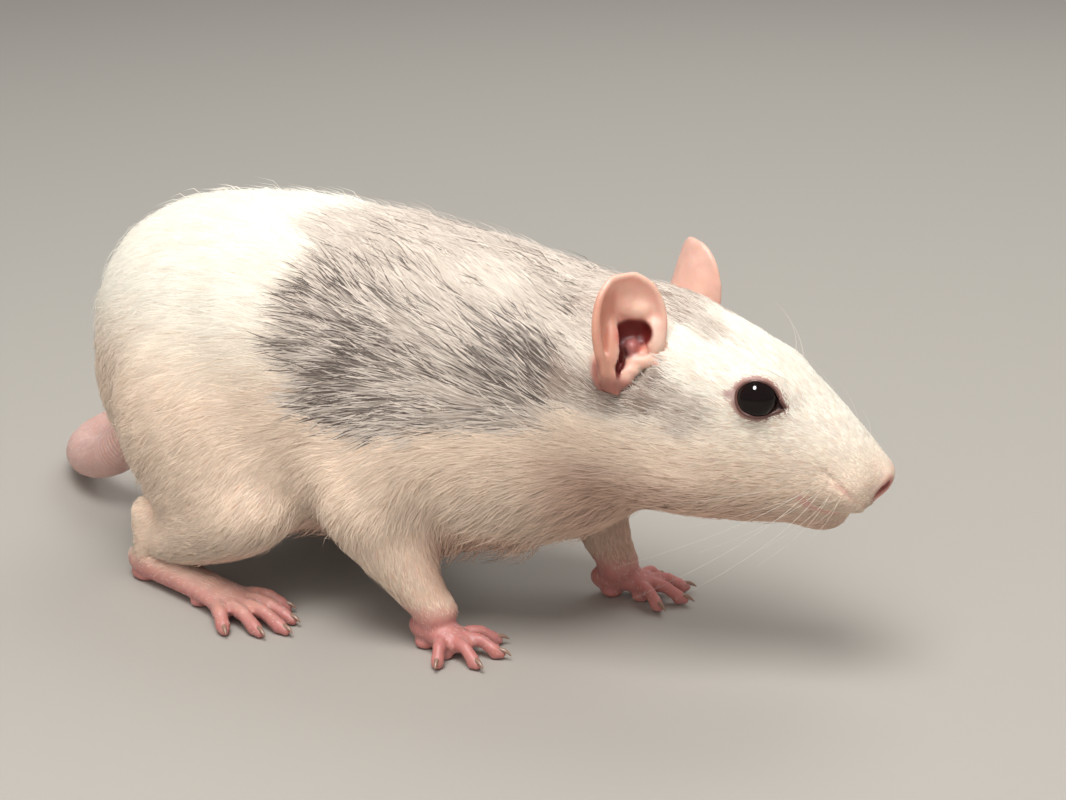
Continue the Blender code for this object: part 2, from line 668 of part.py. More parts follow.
def eyes(nodes, frame):
    made = {}
    for side, out in SIDES.items():
        made[f"eye_{side}"] = ellipsoid(f"eye_{side}", mirrored(EYE_PLACE, out), [EYE_RADIUS] * 3, nodes,
                                        matrix=frame, segments=16, rings=8)
    return made


# Details of the head

def ring_surface(name, rings, collection, matrix):
    """A closed ring of sections, each joined to the next and the last to the first."""
    bm = bmesh.new()
    rows = [[bm.verts.new(point) for point in ring] for ring in rings]
    for i, row in enumerate(rows):
        after = rows[(i + 1) % len(rows)]
        for k in range(len(row)):
            j = (k + 1) % len(row)
            bm.faces.new((row[k], row[j], after[j], after[k]))
    bmesh.ops.recalc_face_normals(bm, faces=bm.faces)
    mesh = bpy.data.meshes.new(name)
    bm.to_mesh(mesh)
    bm.free()
    return new_object(name, mesh, collection, matrix)


def lids(helpers, frame):
    """A raised almond rim round each eye."""
    made = []
    steps, sides = 20, 8
    for out in SIDES.values():
        aim = mirrored(EYE_AIM, out).normalized()
        middle = mirrored(EYE_PLACE, out) + aim * LID_REACH
        forward = Vector((1.0, 0.0, -LID_SLANT))
        forward = (forward - aim * forward.dot(aim)).normalized()
        upward = aim.cross(forward)
        rings = []
        for i in range(steps):
            a = 2 * math.pi * i / steps
            reach = LID_RING * (forward * math.cos(a) * LID_LONG + upward * math.sin(a) * LID_HIGH)
            centre = middle + reach - aim * LID_SINK * abs(math.cos(a)) ** 3
            outward = reach.normalized() * LID_THICKNESS
            turns = [2 * math.pi * k / sides for k in range(sides)]
            raised = aim * LID_THICKNESS
            rings.append([(centre + outward * math.cos(b) + raised * math.sin(b)) * MM for b in turns])
        made.append(ring_surface("lids", rings, helpers, frame))
    return made


def detail_head(head, helpers, frame):
    """Lids are added. Eye sockets, nostrils, mouth line, cleft lip and ear canals are cut in."""
    combine(head, lids(helpers, frame), "UNION")
    nostril, nostril_radii, pitch, turn = NOSTRIL
    canal, canal_radii = EAR_CANAL
    cutters = [groove("cleft", CLEFT_LINE, CLEFT_DEPTH, helpers, frame)]
    for side, out in SIDES.items():
        cutters += [
            ellipsoid("socket", mirrored(EYE_PLACE, out), [EYE_RADIUS + GAP] * 3, helpers, matrix=frame,
                      segments=20, rings=12),
            ellipsoid("nostril", mirrored(nostril, out), nostril_radii, helpers, turn=(0, pitch, turn * out),
                      matrix=frame, segments=10, rings=6),
            ellipsoid("ear_canal", mirrored(EAR_ROOT[side], out) + mirrored(canal, out), canal_radii, helpers,
                      matrix=frame, segments=12, rings=8),
            groove("mouth", [mirrored(point, out) for point in MOUTH_LINE], MOUTH_DEPTH, helpers, frame),
        ]
    return combine(head, cutters, "DIFFERENCE")


def furred_nodes(nodes, helpers, frame):
    """Parts the body into head, neck, torso and legs."""
    coarse = body_form("torso", TORSO_MESH, helpers, frame)
    fine = body_form("head", HEAD_MESH, helpers, frame)
    for obj in (coarse, fine):
        helpers.objects.unlink(obj)
        nodes.objects.link(obj)
    made = {"torso": coarse, "head": fine, "neck": copy_of(coarse, "neck", nodes)}

    nape = Vector(HEAD_SLOPE)
    cutters = [plane_block("behind_head", HEAD_CUT, nape, helpers, matrix=frame)]
    cutters += [foreleg_region(side, helpers, GAP) for side in SIDES]
    combine(fine, cutters, "DIFFERENCE")
    ahead = plane_block("ahead_of_neck", HEAD_CUT, -nape, helpers, offset=-GAP, matrix=frame)
    behind = plane_block("behind_neck", NECK_CUT, -Vector(NECK_SLOPE), helpers)
    cutters = [ahead, behind] + [foreleg_region(side, helpers, GAP) for side in SIDES]
    combine(made["neck"], cutters, "DIFFERENCE")

    for side in SIDES:
        for name, held in ((f"hindleg_{side}", hindleg_region), (f"foreleg_{side}", foreleg_region)):
            leg = copy_of(coarse, name, nodes)
            made[name] = combine(leg, [held(side, helpers, 0.0)], "INTERSECT")
        wrist, elbow = Vector(FORELEGS[side]["wrist"]), Vector(FORELEGS[side]["elbow"])
        end = plane_block("wrist_end", wrist, wrist - elbow, helpers, size=40.0)
        combine(made[f"foreleg_{side}"], [end], "DIFFERENCE")
        heel = Vector(HINDLEGS[side]["heel"]) + Vector((0, 0, GAP))
        end = plane_block("heel_end", heel, (0, 0, -1), helpers, size=60.0)
        combine(made[f"hindleg_{side}"], [end], "DIFFERENCE")

    cutters = [plane_block("ahead_of_torso", NECK_CUT, NECK_SLOPE, helpers, offset=-GAP)]
    for side in SIDES:
        cutters += [hindleg_region(side, helpers, GAP), foreleg_region(side, helpers, GAP)]
    combine(coarse, cutters, "DIFFERENCE")
    return made


def dress(made):
    """Gives each node its own copy of the finish that its name asks for."""
    for name, obj in made.items():
        for finish, (colour, roughness, kinds) in FINISHES.items():
            if name.startswith(kinds):
                obj.data.materials.clear()
                obj.data.materials.append(make_material(f"{finish}_{name}", colour, roughness))
        obj.data.shade_smooth()


def stand_at_origin(made):
    """Moves the model so that the middle of its footprint lies at the origin."""
    corners = np.array([vert.co for obj in made.values() for vert in obj.data.vertices])
    low, high = corners.min(axis=0), corners.max(axis=0)
    shift = Matrix.Translation((-(low[0] + high[0]) / 2, -(low[1] + high[1]) / 2, -low[2]))
    for obj in made.values():
        obj.data.transform(shift)


def main():
    clear_scene()
    nodes = make_collection("pet_rat")
    helpers = make_collection("helpers")
    frame = head_frame()
    made = furred_nodes(nodes, helpers, frame)
    made.update(ears(made["head"], nodes, helpers, frame))
    detail_head(made["head"], helpers, frame)
    made.update(eyes(nodes, frame))
    made.update(feet(nodes, helpers))
    made.update(tail(nodes, helpers))
    combine(made["tail_root"], [swollen(made["torso"], "torso_clear", helpers)], "DIFFERENCE")
    stand_at_origin(made)
    dress(made)
    bpy.data.collections.remove(helpers)
    for name, obj in made.items():
        print(name, sum(len(face.vertices) - 2 for face in obj.data.polygons))


main()
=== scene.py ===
import math

import bpy
import numpy as np
from mathutils import Euler, Matrix, Vector
from mathutils.bvhtree import BVHTree
from mathutils.kdtree import KDTree


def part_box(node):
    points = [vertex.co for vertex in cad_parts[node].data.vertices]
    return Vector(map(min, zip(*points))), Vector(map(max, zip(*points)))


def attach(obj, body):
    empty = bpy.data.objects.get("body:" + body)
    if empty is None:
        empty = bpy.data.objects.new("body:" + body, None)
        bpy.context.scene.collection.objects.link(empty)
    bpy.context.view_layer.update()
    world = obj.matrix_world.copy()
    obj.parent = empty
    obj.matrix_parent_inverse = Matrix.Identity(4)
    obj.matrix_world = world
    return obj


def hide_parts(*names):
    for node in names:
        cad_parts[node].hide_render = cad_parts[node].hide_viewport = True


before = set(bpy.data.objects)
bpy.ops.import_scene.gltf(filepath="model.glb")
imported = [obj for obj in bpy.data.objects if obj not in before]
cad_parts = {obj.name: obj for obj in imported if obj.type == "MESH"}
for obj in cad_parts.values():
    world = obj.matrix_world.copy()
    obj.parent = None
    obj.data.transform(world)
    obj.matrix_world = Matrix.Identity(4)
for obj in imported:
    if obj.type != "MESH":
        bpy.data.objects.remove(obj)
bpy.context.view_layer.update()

mm = 0.001
draw = np.random.default_rng(11)

# The rat's own measures are in millimetres from the floor: +X the way the body faces, +Y its left side.
# The head has a frame of its own, midway between the roots of the ears, with +X towards the nose.
head = {"place": (24.6, 1.7, 47.5), "turn": 18.0, "dip": 12.5}
eye = {
    "place": (18.0, 8.0, 2.1),
    "aim": (0.22, 0.95, 0.24),
    "radius": 3.25,
    # the almond opening, ahead and down from its middle, from the front corner round under the eye
    "opening": ((4.5, -0.6), (3.15, 0.65), (1.9, 1.95), (0.2, 2.6), (-1.3, 2.5), (-2.5, 1.5), (-2.95, 0.4),
                (-2.75, -0.8), (-1.9, -1.95), (-0.4, -2.6), (1.3, -2.5), (2.6, -1.8), (3.5, -1.15)),
    "rearCorner": ((-2.9, 0.9), (-3.9, 1.4)),
    "rim": 0.23,  # half the thickness of the lids' edge
}
sides = {"right": -1, "left": 1}


def turnedPlace(place, turn, dip):
    turned = Euler((0.0, math.radians(dip), math.radians(turn))).to_matrix().to_4x4()
    return Matrix.Translation(Vector(place) * mm) @ turned


def sided(point, out):
    return Vector((point[0], point[1] * out, point[2]))


headInRat = turnedPlace(**head)
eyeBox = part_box("eye_right")
eyeCentre = (Vector(eyeBox[0]) + Vector(eyeBox[1])) / 2
ratToWorld = Matrix.Translation(eyeCentre - headInRat @ (sided(eye["place"], -1) * mm))
headToWorld = ratToWorld @ headInRat


def measuredIn(place, points):
    # world points in metres, as millimetres in one of the two frames
    back = np.array(place.inverted())
    return (points @ back[:3, :3].T + back[:3, 3]) / mm


def foldedIn(place, points):
    # the same, with the right side laid over the left one
    spot = measuredIn(place, points)
    spot[:, 1] = np.abs(spot[:, 1])
    return spot


def inBoth(points):
    # in the rat's frame and in the head's
    return measuredIn(ratToWorld, points), measuredIn(headToWorld, points)


def inWorld(place, point):
    return place @ (Vector(point) * mm)


# Small tools for meshes

def select(*objects):
    bpy.ops.object.select_all(action="DESELECT")
    for obj in objects:
        obj.select_set(True)
    bpy.context.view_layer.objects.active = objects[0]


def modify(obj, kind, **settings):
    # adds one modifier and applies it
    modifier = obj.modifiers.new(kind, kind)
    for key, value in settings.items():
        setattr(modifier, key, value)
    select(obj)
    bpy.ops.object.modifier_apply(modifier=modifier.name)


def placed(name, data):
    obj = bpy.data.objects.new(name, data)
    bpy.context.scene.collection.objects.link(obj)
    return obj


def copied(source):
    obj = source.copy()
    obj.data = source.data.copy()
    bpy.context.scene.collection.objects.link(obj)
    obj.parent = None
    return obj


def join(name, objects):
    select(*objects)
    if len(objects) > 1:
        bpy.ops.object.join()
    made = bpy.context.view_layer.objects.active
    made.name = name
    made.data.name = name
    return made


def atOrigin(obj):
    select(obj)
    bpy.ops.object.transform_apply(location=True, rotation=True, scale=True)
    return obj


def mend(merge=True, faceOut=True):
    # on the active object: merges points that coincide and turns the faces outwards
    bpy.ops.object.mode_set(mode="EDIT")
    bpy.ops.mesh.select_all(action="SELECT")
    if merge:
        bpy.ops.mesh.remove_doubles(threshold=1e-6)
    if faceOut:
        bpy.ops.mesh.normals_make_consistent(inside=False)
    bpy.ops.object.mode_set(mode="OBJECT")


def treeOf(places):
    tree = KDTree(len(places))
    for number, place in enumerate(places):
        tree.insert(place, number)
    tree.balance()
    return tree


def getVerts(obj, kind="co"):
    out = np.empty(len(obj.data.vertices) * 3, np.float32)
    source = obj.data.vertices if kind == "co" else obj.data.vertex_normals
    source.foreach_get("co" if kind == "co" else "vector", out)
    return out.reshape(-1, 3).astype(float)


def setVerts(obj, points):
    obj.data.vertices.foreach_set("co", points.astype(np.float32).ravel())
    obj.data.update()


def trianglesOf(obj, kind="vertices"):
    obj.data.calc_loop_triangles()
    corners = np.empty(len(obj.data.loop_triangles) * 3, np.int32)
    obj.data.loop_triangles.foreach_get(kind, corners)
    return corners.reshape(-1, 3)


def sphere(matrix, segments, rings, radius=1.0):
    bpy.ops.mesh.primitive_uv_sphere_add(segments=segments, ring_count=rings, radius=radius)
    obj = bpy.context.object
    obj.matrix_world = matrix
    return atOrigin(obj)


def ball(place, centre, radii, turn=(0, 0, 0), segments=24, rings=12):
    turned = Euler([math.radians(a) for a in turn]).to_matrix().to_4x4()
    return sphere(place @ Matrix.Translation(Vector(centre) * mm) @ turned
                  @ Matrix.Diagonal((*(Vector(radii) * mm), 1.0)), segments, rings)


def sweep(name, place, points, radii, closed=False, smooth=3):
    # a round tube along points, each with its own radius, closed at its ends
    curve = bpy.data.curves.new(name, "CURVE")
    curve.dimensions = "3D"
    curve.bevel_depth = mm
    curve.bevel_resolution = smooth
    curve.use_fill_caps = not closed
    spline = curve.splines.new("POLY")
    spline.points.add(len(points) - 1)
    for spot, point, radius in zip(spline.points, points, radii):
        spot.co = (*inWorld(place, point), 1.0)
        spot.radius = radius
    spline.use_cyclic_u = closed
    select(placed(name, curve))
    bpy.ops.object.convert(target="MESH")
    mend()
    return bpy.context.view_layer.objects.active


def nodeCopy(name, grow):
    # a CAD node's triangles, merged, and swollen a little so that neighbours run into each other
    obj = copied(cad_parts[name])
    for key in [k for k in obj.keys() if k.startswith("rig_")]:
        del obj[key]
    obj.name = name + "Copy"
    select(obj)
    mend(faceOut=False)
    modify(obj, "DISPLACE", strength=grow * mm, mid_level=0.0)
    return obj


def remesh(obj, voxel, softening):
    modify(obj, "REMESH", mode="VOXEL", voxel_size=voxel * mm)
    modify(obj, "SMOOTH", factor=0.5, iterations=softening)
    return obj


def smoothStep(low, high, value):
    t = np.clip((value - low) / (high - low), 0.0, 1.0)
    return t * t * (3 - 2 * t)


def mixed(a, b, share):
    return np.asarray(a) * (1 - share[:, None]) + np.asarray(b) * share[:, None]


def sizeOf(vectors):
    return np.linalg.norm(vectors, axis=1)


def weighed(parts, shares):
    return sum(part * share[:, None] for part, share in zip(parts, shares))


def toPath(points, path):
    # distance of each point from a line of points
    path = np.array(path, float)
    best = np.full(len(points), 1e9)
    for a, b in zip(path, path[1:]):
        along = b - a
        share = np.clip((points - a) @ along / (along @ along), 0.0, 1.0)
        best = np.minimum(best, sizeOf(points - a - share[:, None] * along))
    return best


# Legs, shared by the coat and the skin: points from the top down
legs = {
    "foreleg_right": ((-5, -13, 37), (-15, -19.5, 24), (-3.8, -16.2, 7.2)),
    "foreleg_left": ((1, 13, 37), (0, 18.5, 23.5), (8.4, 18, 7)),
    "hindleg_right": ((-55, -12, 36), (-31, -23.5, 21), (-58, -21.5, 5.6)),
    "hindleg_left": ((-53, 12, 36), (-29, 23.5, 21), (-55, 22, 5.6)),
}

# Body

# How thick the coat is: by distance forward on the head, by height on the legs
coatDepth = {
    "trunk": 1.7, "belly": 1.2,
    "head": ((-12, 1.5), (0, 1.0), (14, 0.7), (24, 0.45), (32, 0.2), (37, 0.0)),
    "leg": ((5, 0.1), (9, 0.3), (16, 0.7), (26, 1.2)),
}


def depthOfCoat(points):
    # how far the skin lies inside the outline of the coat
    rat, inHead = inBoth(points)
    deep = coatDepth["belly"] + (coatDepth["trunk"] - coatDepth["belly"]) * smoothStep(15, 40, rat[:, 2])
    onHead = np.interp(inHead[:, 0], *zip(*coatDepth["head"]))
    deep = np.where(inHead[:, 0] > -12, np.minimum(deep, onHead), deep)
    for leg in legs.values():
        near = toPath(rat, leg[1:])
        onLeg = np.interp(rat[:, 2], *zip(*coatDepth["leg"]))
        deep = np.where(near < 9.0, np.minimum(deep, onLeg), deep)
    return deep


# Fullness of the upper lip and of the nose, in the head's frame
muzzle = (
    ((35.8, 3.9, -10.4), (2.5, 2.2, 1.7)), ((38, 1.2, -6.6), (2.2, 2, 2.6)),
    ((33.5, 4.2, -9.8), (3.4, 3.2, 2.2)),
)


def makeBody():
    names = ["head", "neck", "torso"] + list(legs)
    pieces = [nodeCopy(name, 0.25) for name in names]
    for out in sides.values():
        pieces += [ball(headToWorld, sided(place, out), radii) for place, radii in muzzle]
    for out in sides.values():
        pieces.append(ball(headToWorld, sided(eye["place"], out), [eye["radius"] + 0.1] * 3))
    body = remesh(join("body", pieces), 0.8, 9)
    points = getVerts(body)
    setVerts(body, points - getVerts(body, "normal") * (depthOfCoat(points) + 0.1)[:, None] * mm)
    return body


# Ears: a cupped sheet, nearly a tube at its root, with a thick rolled rim

ear = {
    "root": {"right": (-0.8, 11.4, -1.0), "left": (1.6, 11.2, -1.0)},
    "axis": {"right": (-0.09, 0.2, 0.98), "left": (0.06, 0.17, 0.98)},
    "opening": (0.74, 0.67, -0.05),
    "length": 17.0, "spread": 7.8, "spine": 3.2, "fold": 150.0, "unfold": 110.0,
    "wall": 0.55,
    "reach": 0.985,  # share of the length that is built
}


def earFrame(side):
    out = sides[side]
    axis = sided(ear["axis"][side], out).normalized()
    opening = sided(ear["opening"], out)
    opening = (opening - axis * opening.dot(axis)).normalized()
    return sided(ear["root"][side], out), axis, opening, axis.cross(opening)


def earPoint(side, t, s):
    # t runs from root to tip, s from one edge round to the other; also the middle of the arc that s follows
    root, axis, opening, across = earFrame(side)
    fold = math.radians(ear["fold"] - ear["unfold"] * t**0.6)
    bow = ear["spread"] * max(1 - (max(t - 0.3, 0) / 0.7) ** 2.6, 0) ** 0.5 / fold
    angle = fold * s
    middle = root + axis * ear["length"] * t + opening * (bow - ear["spine"])
    return middle + (across * math.sin(angle) - opening * math.cos(angle)) * bow, middle


# The ear's inside is laid out as it is seen from outside and a little ahead: places across and down, counted
# in steps, and a height in millimetres towards the onlooker
earSight = {
    "towards": (0.205, -0.9095, 0.362), "across": (0.934, 0.292, 0.207), "up": (-0.294, 0.2955, 0.909),
    "origin": (632.0, 300.0), "at": (-3.055, 8.331), "step": 0.1447,
}
earFlesh = (
    ((655, 335, 12.6), (1.7, 2.9, 1.05)), ((641, 361, 11.7), (2.7, 1.1, 1.5)),
    ((637, 308, 11.9), (3, 1.8, 2)), ((611, 345, 13.2), (1.5, 4.6, 2.4)),
    ((611, 373, 12.6), (1.6, 2.4, 2.2)), ((624, 300, 13), (1.6, 2.4, 1.4)),
    ((631, 370, 11.7), (1.7, 1.1, 1.6)), ((624, 380, 11.7), (1.6, 1.1, 1.6)),
    ((614, 386, 11.8), (1.5, 0.9, 1.6)),
)
earHollows = (
    ((630, 330, 13.4), (1.9, 1.4, 2.6)), ((640, 333, 13.2), (1.6, 1.7, 2.7)),
    ((627, 342, 13.4), (1.3, 2, 2.7)), ((622, 358, 13.6), (0.5, 1.6, 2.6)),
    ((618, 369, 13.8), (0.4, 1.3, 2.4)),
)
earBump = ((632, 347, 11.4), (1, 1.2, 1.5))


def earAxes(side):
    # columns: axis, opening and across, with across the same way round on both sides
    root, axis, opening, across = earFrame(side)
    return np.array(root), np.column_stack((axis, opening, across * -sides[side]))


def earSeen(side, spot):
    # points of the head's frame as places across and up, and depth
    root, axes = earAxes(side)
    rightRoot, rightAxes = earAxes("right")
    spot = rightRoot + (spot - root) @ axes @ rightAxes.T
    across, up, depth = (spot @ np.array(earSight[key]) for key in ("across", "up", "towards"))
    x = earSight["origin"][0] + (across - earSight["at"][0]) / earSight["step"]
    y = earSight["origin"][1] - (up - earSight["at"][1]) / earSight["step"]
    return np.column_stack((x, y, depth))


def earPlace(side, x, y, depth):
    # the way back from such a place to a point of the head's frame
    root, axes = earAxes(side)
    rightRoot, rightAxes = earAxes("right")
    across = earSight["at"][0] + (x - earSight["origin"][0]) * earSight["step"]
    up = earSight["at"][1] - (y - earSight["origin"][1]) * earSight["step"]
    spot = sum(np.array(earSight[key]) * value
               for key, value in (("across", across), ("up", up), ("towards", depth)))
    return root + (spot - rightRoot) @ rightAxes @ axes.T


def earBall(side, place, radii):
    # an oval ball whose own axes run across, up and towards the eye
    axes, rightAxes = earAxes(side)[1], earAxes("right")[1]
    turned = [axes @ rightAxes.T @ np.array(earSight[key]) for key in ("across", "up", "towards")]
    matrix = Matrix([[*(turned[k][row] * radii[k] * mm for k in range(3)), c * mm]
                     for row, c in enumerate(earPlace(side, *place))] + [[0, 0, 0, 1]])
    obj = sphere(headToWorld @ matrix, 20, 12)
    mend(merge=False)
    return obj


def makeEar(side):
    steps, arcs = 30, 30
    bpy.ops.mesh.primitive_grid_add(x_subdivisions=arcs, y_subdivisions=steps, size=1.0)
    sheet = bpy.context.object
    flat = getVerts(sheet)
    bent = [inWorld(headToWorld, earPoint(side, ear["reach"] * math.sin(math.pi / 2 * (v + 0.5)), 2 * u)[0])
            for u, v in flat[:, :2]]
    setVerts(sheet, np.array([p[:] for p in bent]))
    modify(sheet, "SOLIDIFY", thickness=ear["wall"] * mm, offset=0.0)
    rear = sides[side]
    heights = [ear["reach"] * math.sin(math.pi / 2 * k / 24) for k in range(3, 25)]
    back = [earPoint(side, t, rear * (0.86 + 0.14 * t))[0] for t in heights]
    front = [earPoint(side, t, -rear)[0] for t in reversed(heights)]
    thick = [1.05 - 0.45 * t for t in heights] + [0.6 - 0.2 * (1 - t) for t in reversed(heights)]
    pieces = [sheet, sweep("rim", headToWorld, back + front, thick)]
    pieces += [earBall(side, place, radii) for place, radii in earFlesh]
    made = remesh(join("ear_" + side, pieces), 0.3, 2)
    smoothBack(made, side)
    return made


def smoothBack(made, side):
    # draws the back of the ear in to its sheet, so that the folds inside don't show there
    grid = [(t, s) for t in np.linspace(0.05, 0.98, 48) for s in np.linspace(-1, 1, 49)]
    rows = [(t, s, *earPoint(side, t, s)) for t, s in grid]
    tree = treeOf([row[2] for row in rows])
    spots = measuredIn(headToWorld, getVerts(made))
    for number, spot in enumerate(spots):
        t, s, place, middle = rows[tree.find(spot)[1]]
        inward = (middle - place).normalized()
        behind = -ear["wall"] * 0.7 - (Vector(spot) - place).dot(inward)
        if behind > 0:
            keep = smoothStep(0.95, 0.75, abs(s)) * smoothStep(0.97, 0.88, t)
            spots[number] += np.array(inward) * behind * float(keep)
    setVerts(made, np.array([inWorld(headToWorld, spot)[:] for spot in spots]))


def hollowOut(obj, side):
    hollow = remesh(join("hollow", [earBall(side, place, radii) for place, radii in earHollows]), 0.25, 1)
    modify(obj, "BOOLEAN", operation="DIFFERENCE", solver="MANIFOLD", object=hollow)
    bpy.data.objects.remove(hollow)


# Feet: a sole, and toes as chains of balls that arch and come down on their pads

toeArch = ((-0.3, 0, 1.05), (0.15, 0.5, 1), (0.5, 0.35, 0.95), (0.82, -0.55, 0.97), (1, -0.9, 0.7))
feet = {
    "fore": {
        "toes": ((-50, 5.6, -0.95), (-16, 6.8, -0.4), (16, 6.4, 0.3), (58, 4.2, 1)),
        "reach": 6, "swept": 1.5, "halfWidth": 2.7, "height": 2.1, "arch": 1.3, "radius": 1.05,
        "pads": ((-0.4, 0, (2, 2.6, 1.2)), (4.6, -2.1, (1.6, 1.4, 1.1)), (4.6, 2.1, (1.6, 1.4, 1.1))),
        "sole": ((-1.2, 3, 2, 2.2), (-0.2, 3.4, 2.7, 2.5), (1.6, 3.2, 2.8, 2.2), (4, 2.6, 3.1, 1.8),
                 (5.6, 2.2, 2.7, 1.4)),
        "gap": 0.3, "ankle": 3.5,
    },
    "hind": {
        "toes": ((-24, 6.4, -1), (-8, 9.4, -0.55), (1, 10.2, 0), (10, 9.4, 0.55),
                 (30, 6.6, 1)),
        "reach": 23.4, "swept": 2.6, "halfWidth": 3.6, "height": 2, "arch": 1.2, "radius": 1.2,
        "pads": ((-2, 0, (3, 2.4, 1.4)), (14, 0, (2, 3.4, 1.2)), (20.8, -2.7, (1.8, 1.6, 1.2)),
                 (20.8, 2.7, (1.8, 1.6, 1.2))),
        "sole": ((-3, 3.2, 2.2, 2.3), (-1.6, 3.4, 2.9, 2.9), (1, 3.3, 3, 2.9), (5, 3, 3, 2.6),
                 (10, 2.8, 3.2, 2.4), (15, 2.6, 3.6, 2.1), (19.5, 2.3, 4.2, 1.8), (22.5, 2.1, 3.7, 1.4)),
        "gap": 0, "ankle": 3.1,
    },
}
footForm = {
    "soleBalls": 20, "soleBall": 2.9, "ankleBalls": 9, "ankleSunk": 1.5, "toeBalls": 13,
    "toePad": (1.1, 1.1, 0.85),
}
headings = {"foreleg_right": -4.0, "foreleg_left": 26.0, "hindleg_right": -8.0, "hindleg_left": 10.0}


def footFrame(leg):
    kind = feet["fore" if leg.startswith("fore") else "hind"]
    out = sides[leg.split("_")[1]]
    turn = math.radians(headings[leg])
    along = Vector((math.cos(turn), math.sin(turn), 0.0))
    across = Vector((-math.sin(turn), math.cos(turn), 0.0)) * out
    middle, bottom = (Vector(p) for p in legs[leg][1:])
    ankle = bottom + (bottom - middle).normalized() * kind["gap"]
    return kind, out, turn, along, across, ankle


def toePath(leg, number):
    kind, out, turn, along, across, ankle = footFrame(leg)
    angle, length, place = kind["toes"][number]
    root = Vector((ankle.x, ankle.y, kind["height"])) + across * place * kind["halfWidth"]
    root += along * (kind["reach"] - abs(place) * kind["swept"])
    swing = turn + math.radians(angle) * out
    toeAlong = Vector((math.cos(swing), math.sin(swing), 0.0))
    up = Vector((0.0, 0.0, 1.0))
    path = [(root + toeAlong * length * share + up * kind["arch"] * height, kind["radius"] * width)
            for share, height, width in toeArch]
    return path, toeAlong, length


def strung(rows, count):
    # rows read at even steps along their list
    for k in range(count):
        t = k / (count - 1) * (len(rows) - 1)
        i = min(int(t), len(rows) - 2)
        yield [a + (b - a) * (t - i) for a, b in zip(rows[i], rows[i + 1])]


def makeFoot(leg):
    kind, out, turn, along, across, ankle = footFrame(leg)
    heading = math.degrees(turn)
    pieces = []
    for x, z, wide, high in strung(kind["sole"], footForm["soleBalls"]):
        spot = ankle + along * x
        radii = (footForm["soleBall"], wide, high)
        pieces.append(ball(ratToWorld, (spot.x, spot.y, z), radii, (0, 0, heading), 20, 12))
    middle = Vector(legs[leg][1])
    upward = (middle - ankle).normalized() if leg.startswith("fore") else Vector((0, 0, 1))
    for k in range(footForm["ankleBalls"]):
        spot = ankle + upward * (k - footForm["ankleSunk"])
        pieces.append(ball(ratToWorld, spot, [kind["ankle"] - 0.06] * 3, (0, 0, 0), 20, 12))
    for x, y, radii in kind["pads"]:
        spot = ankle + along * x + across * y
        pieces.append(ball(ratToWorld, (spot.x, spot.y, radii[2] * 0.75), radii, (0, 0, heading), 16, 8))
    for number in range(len(kind["toes"])):
        path, toeAlong, length = toePath(leg, number)
        rows = strung([(*p, r) for p, r in path], footForm["toeBalls"])
        for k, (x, y, z, radius) in enumerate(rows):
            knuckle = 1.0 + 0.1 * math.exp(-((k - 5.0) / 1.2) ** 2)
            knuckle += 0.08 * math.exp(-((k - 9.0) / 1.0) ** 2)
            pieces.append(ball(ratToWorld, (x, y, z), [radius * knuckle] * 3, (0, 0, 0), 12, 8))
        tip, pad = path[3][0] + toeAlong * 0.2, footForm["toePad"]
        pieces.append(ball(ratToWorld, (tip.x, tip.y, pad[2]), pad, (0, 0, 0), 12, 8))
    return pieces


# A claw from within the toe's tip: distance ahead, height and half thickness
clawPath = ((-0.9, 0.25, 0.42), (0.3, 0.3, 0.42), (1.1, 0.05, 0.3), (1.75, -0.5, 0.07))


def makeClaws():
    pieces = []
    for leg in legs:
        kind = footFrame(leg)[0]
        for number in range(len(kind["toes"])):
            path, toeAlong, length = toePath(leg, number)
            tip = path[4][0] + Vector((0, 0, 0.45)) - toeAlong * 0.05
            points = [tip + toeAlong * ahead + Vector((0, 0, height)) for ahead, height, width in clawPath]
            pieces.append(sweep("claw", ratToWorld, points, [row[2] for row in clawPath]))
    claws = join("claws", pieces)
    modify(claws, "SUBSURF", levels=1, render_levels=1)
    claws.data.shade_smooth()
    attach(claws, "root")
    return claws


# Tail

tail = {
    "length": 158.0, "root": (-74.0, 0.0, 22.5), "thick": 4.9, "thin": 0.9, "flat": 0.25,
    "steepest": 0.66, "straight": 12, "bend": 0.030, "unbend": 0.013,
}


def tailPath():
    x, y, z = tail["root"]
    heading = math.pi
    rows = []
    for distance in range(int(tail["length"]) + 1):
        share = distance / tail["length"]
        radius = tail["thick"] + (tail["thin"] - tail["thick"]) * share**0.8
        rows.append((x, y, z, radius))
        rest = radius - tail["flat"]
        slope = min(tail["steepest"], (z - rest) * 0.07 + 0.03) if z > rest else 0.0
        if distance > tail["straight"]:
            heading -= tail["bend"] - tail["unbend"] * share
        x += math.cos(heading) * math.sqrt(1 - slope**2)
        y += math.sin(heading) * math.sqrt(1 - slope**2)
        z = max(z - slope, rest)
    return np.array(rows)


tailRows = tailPath()


def makeTail():
    rows = tailRows[4:]
    return sweep("tail", ratToWorld, [r[:3] for r in rows], [r[3] - 0.12 for r in rows], smooth=6)


def alongTail(points):
    # distance along the tail for each point, and how near it lies to the tail's surface
    tree = treeOf(tailRows[:, :3])
    found = [tree.find(p) for p in points]
    index = np.array([f[1] for f in found])
    before = tailRows[np.maximum(index - 1, 0), :3]
    after = tailRows[np.minimum(index + 1, len(tailRows) - 1), :3]
    direction = (after - before) / sizeOf(after - before)[:, None]
    run = index + ((points - tailRows[index, :3]) * direction).sum(axis=1)
    inside = np.array([f[2] for f in found]) - tailRows[index, 3]
    return run, inside


# Skin

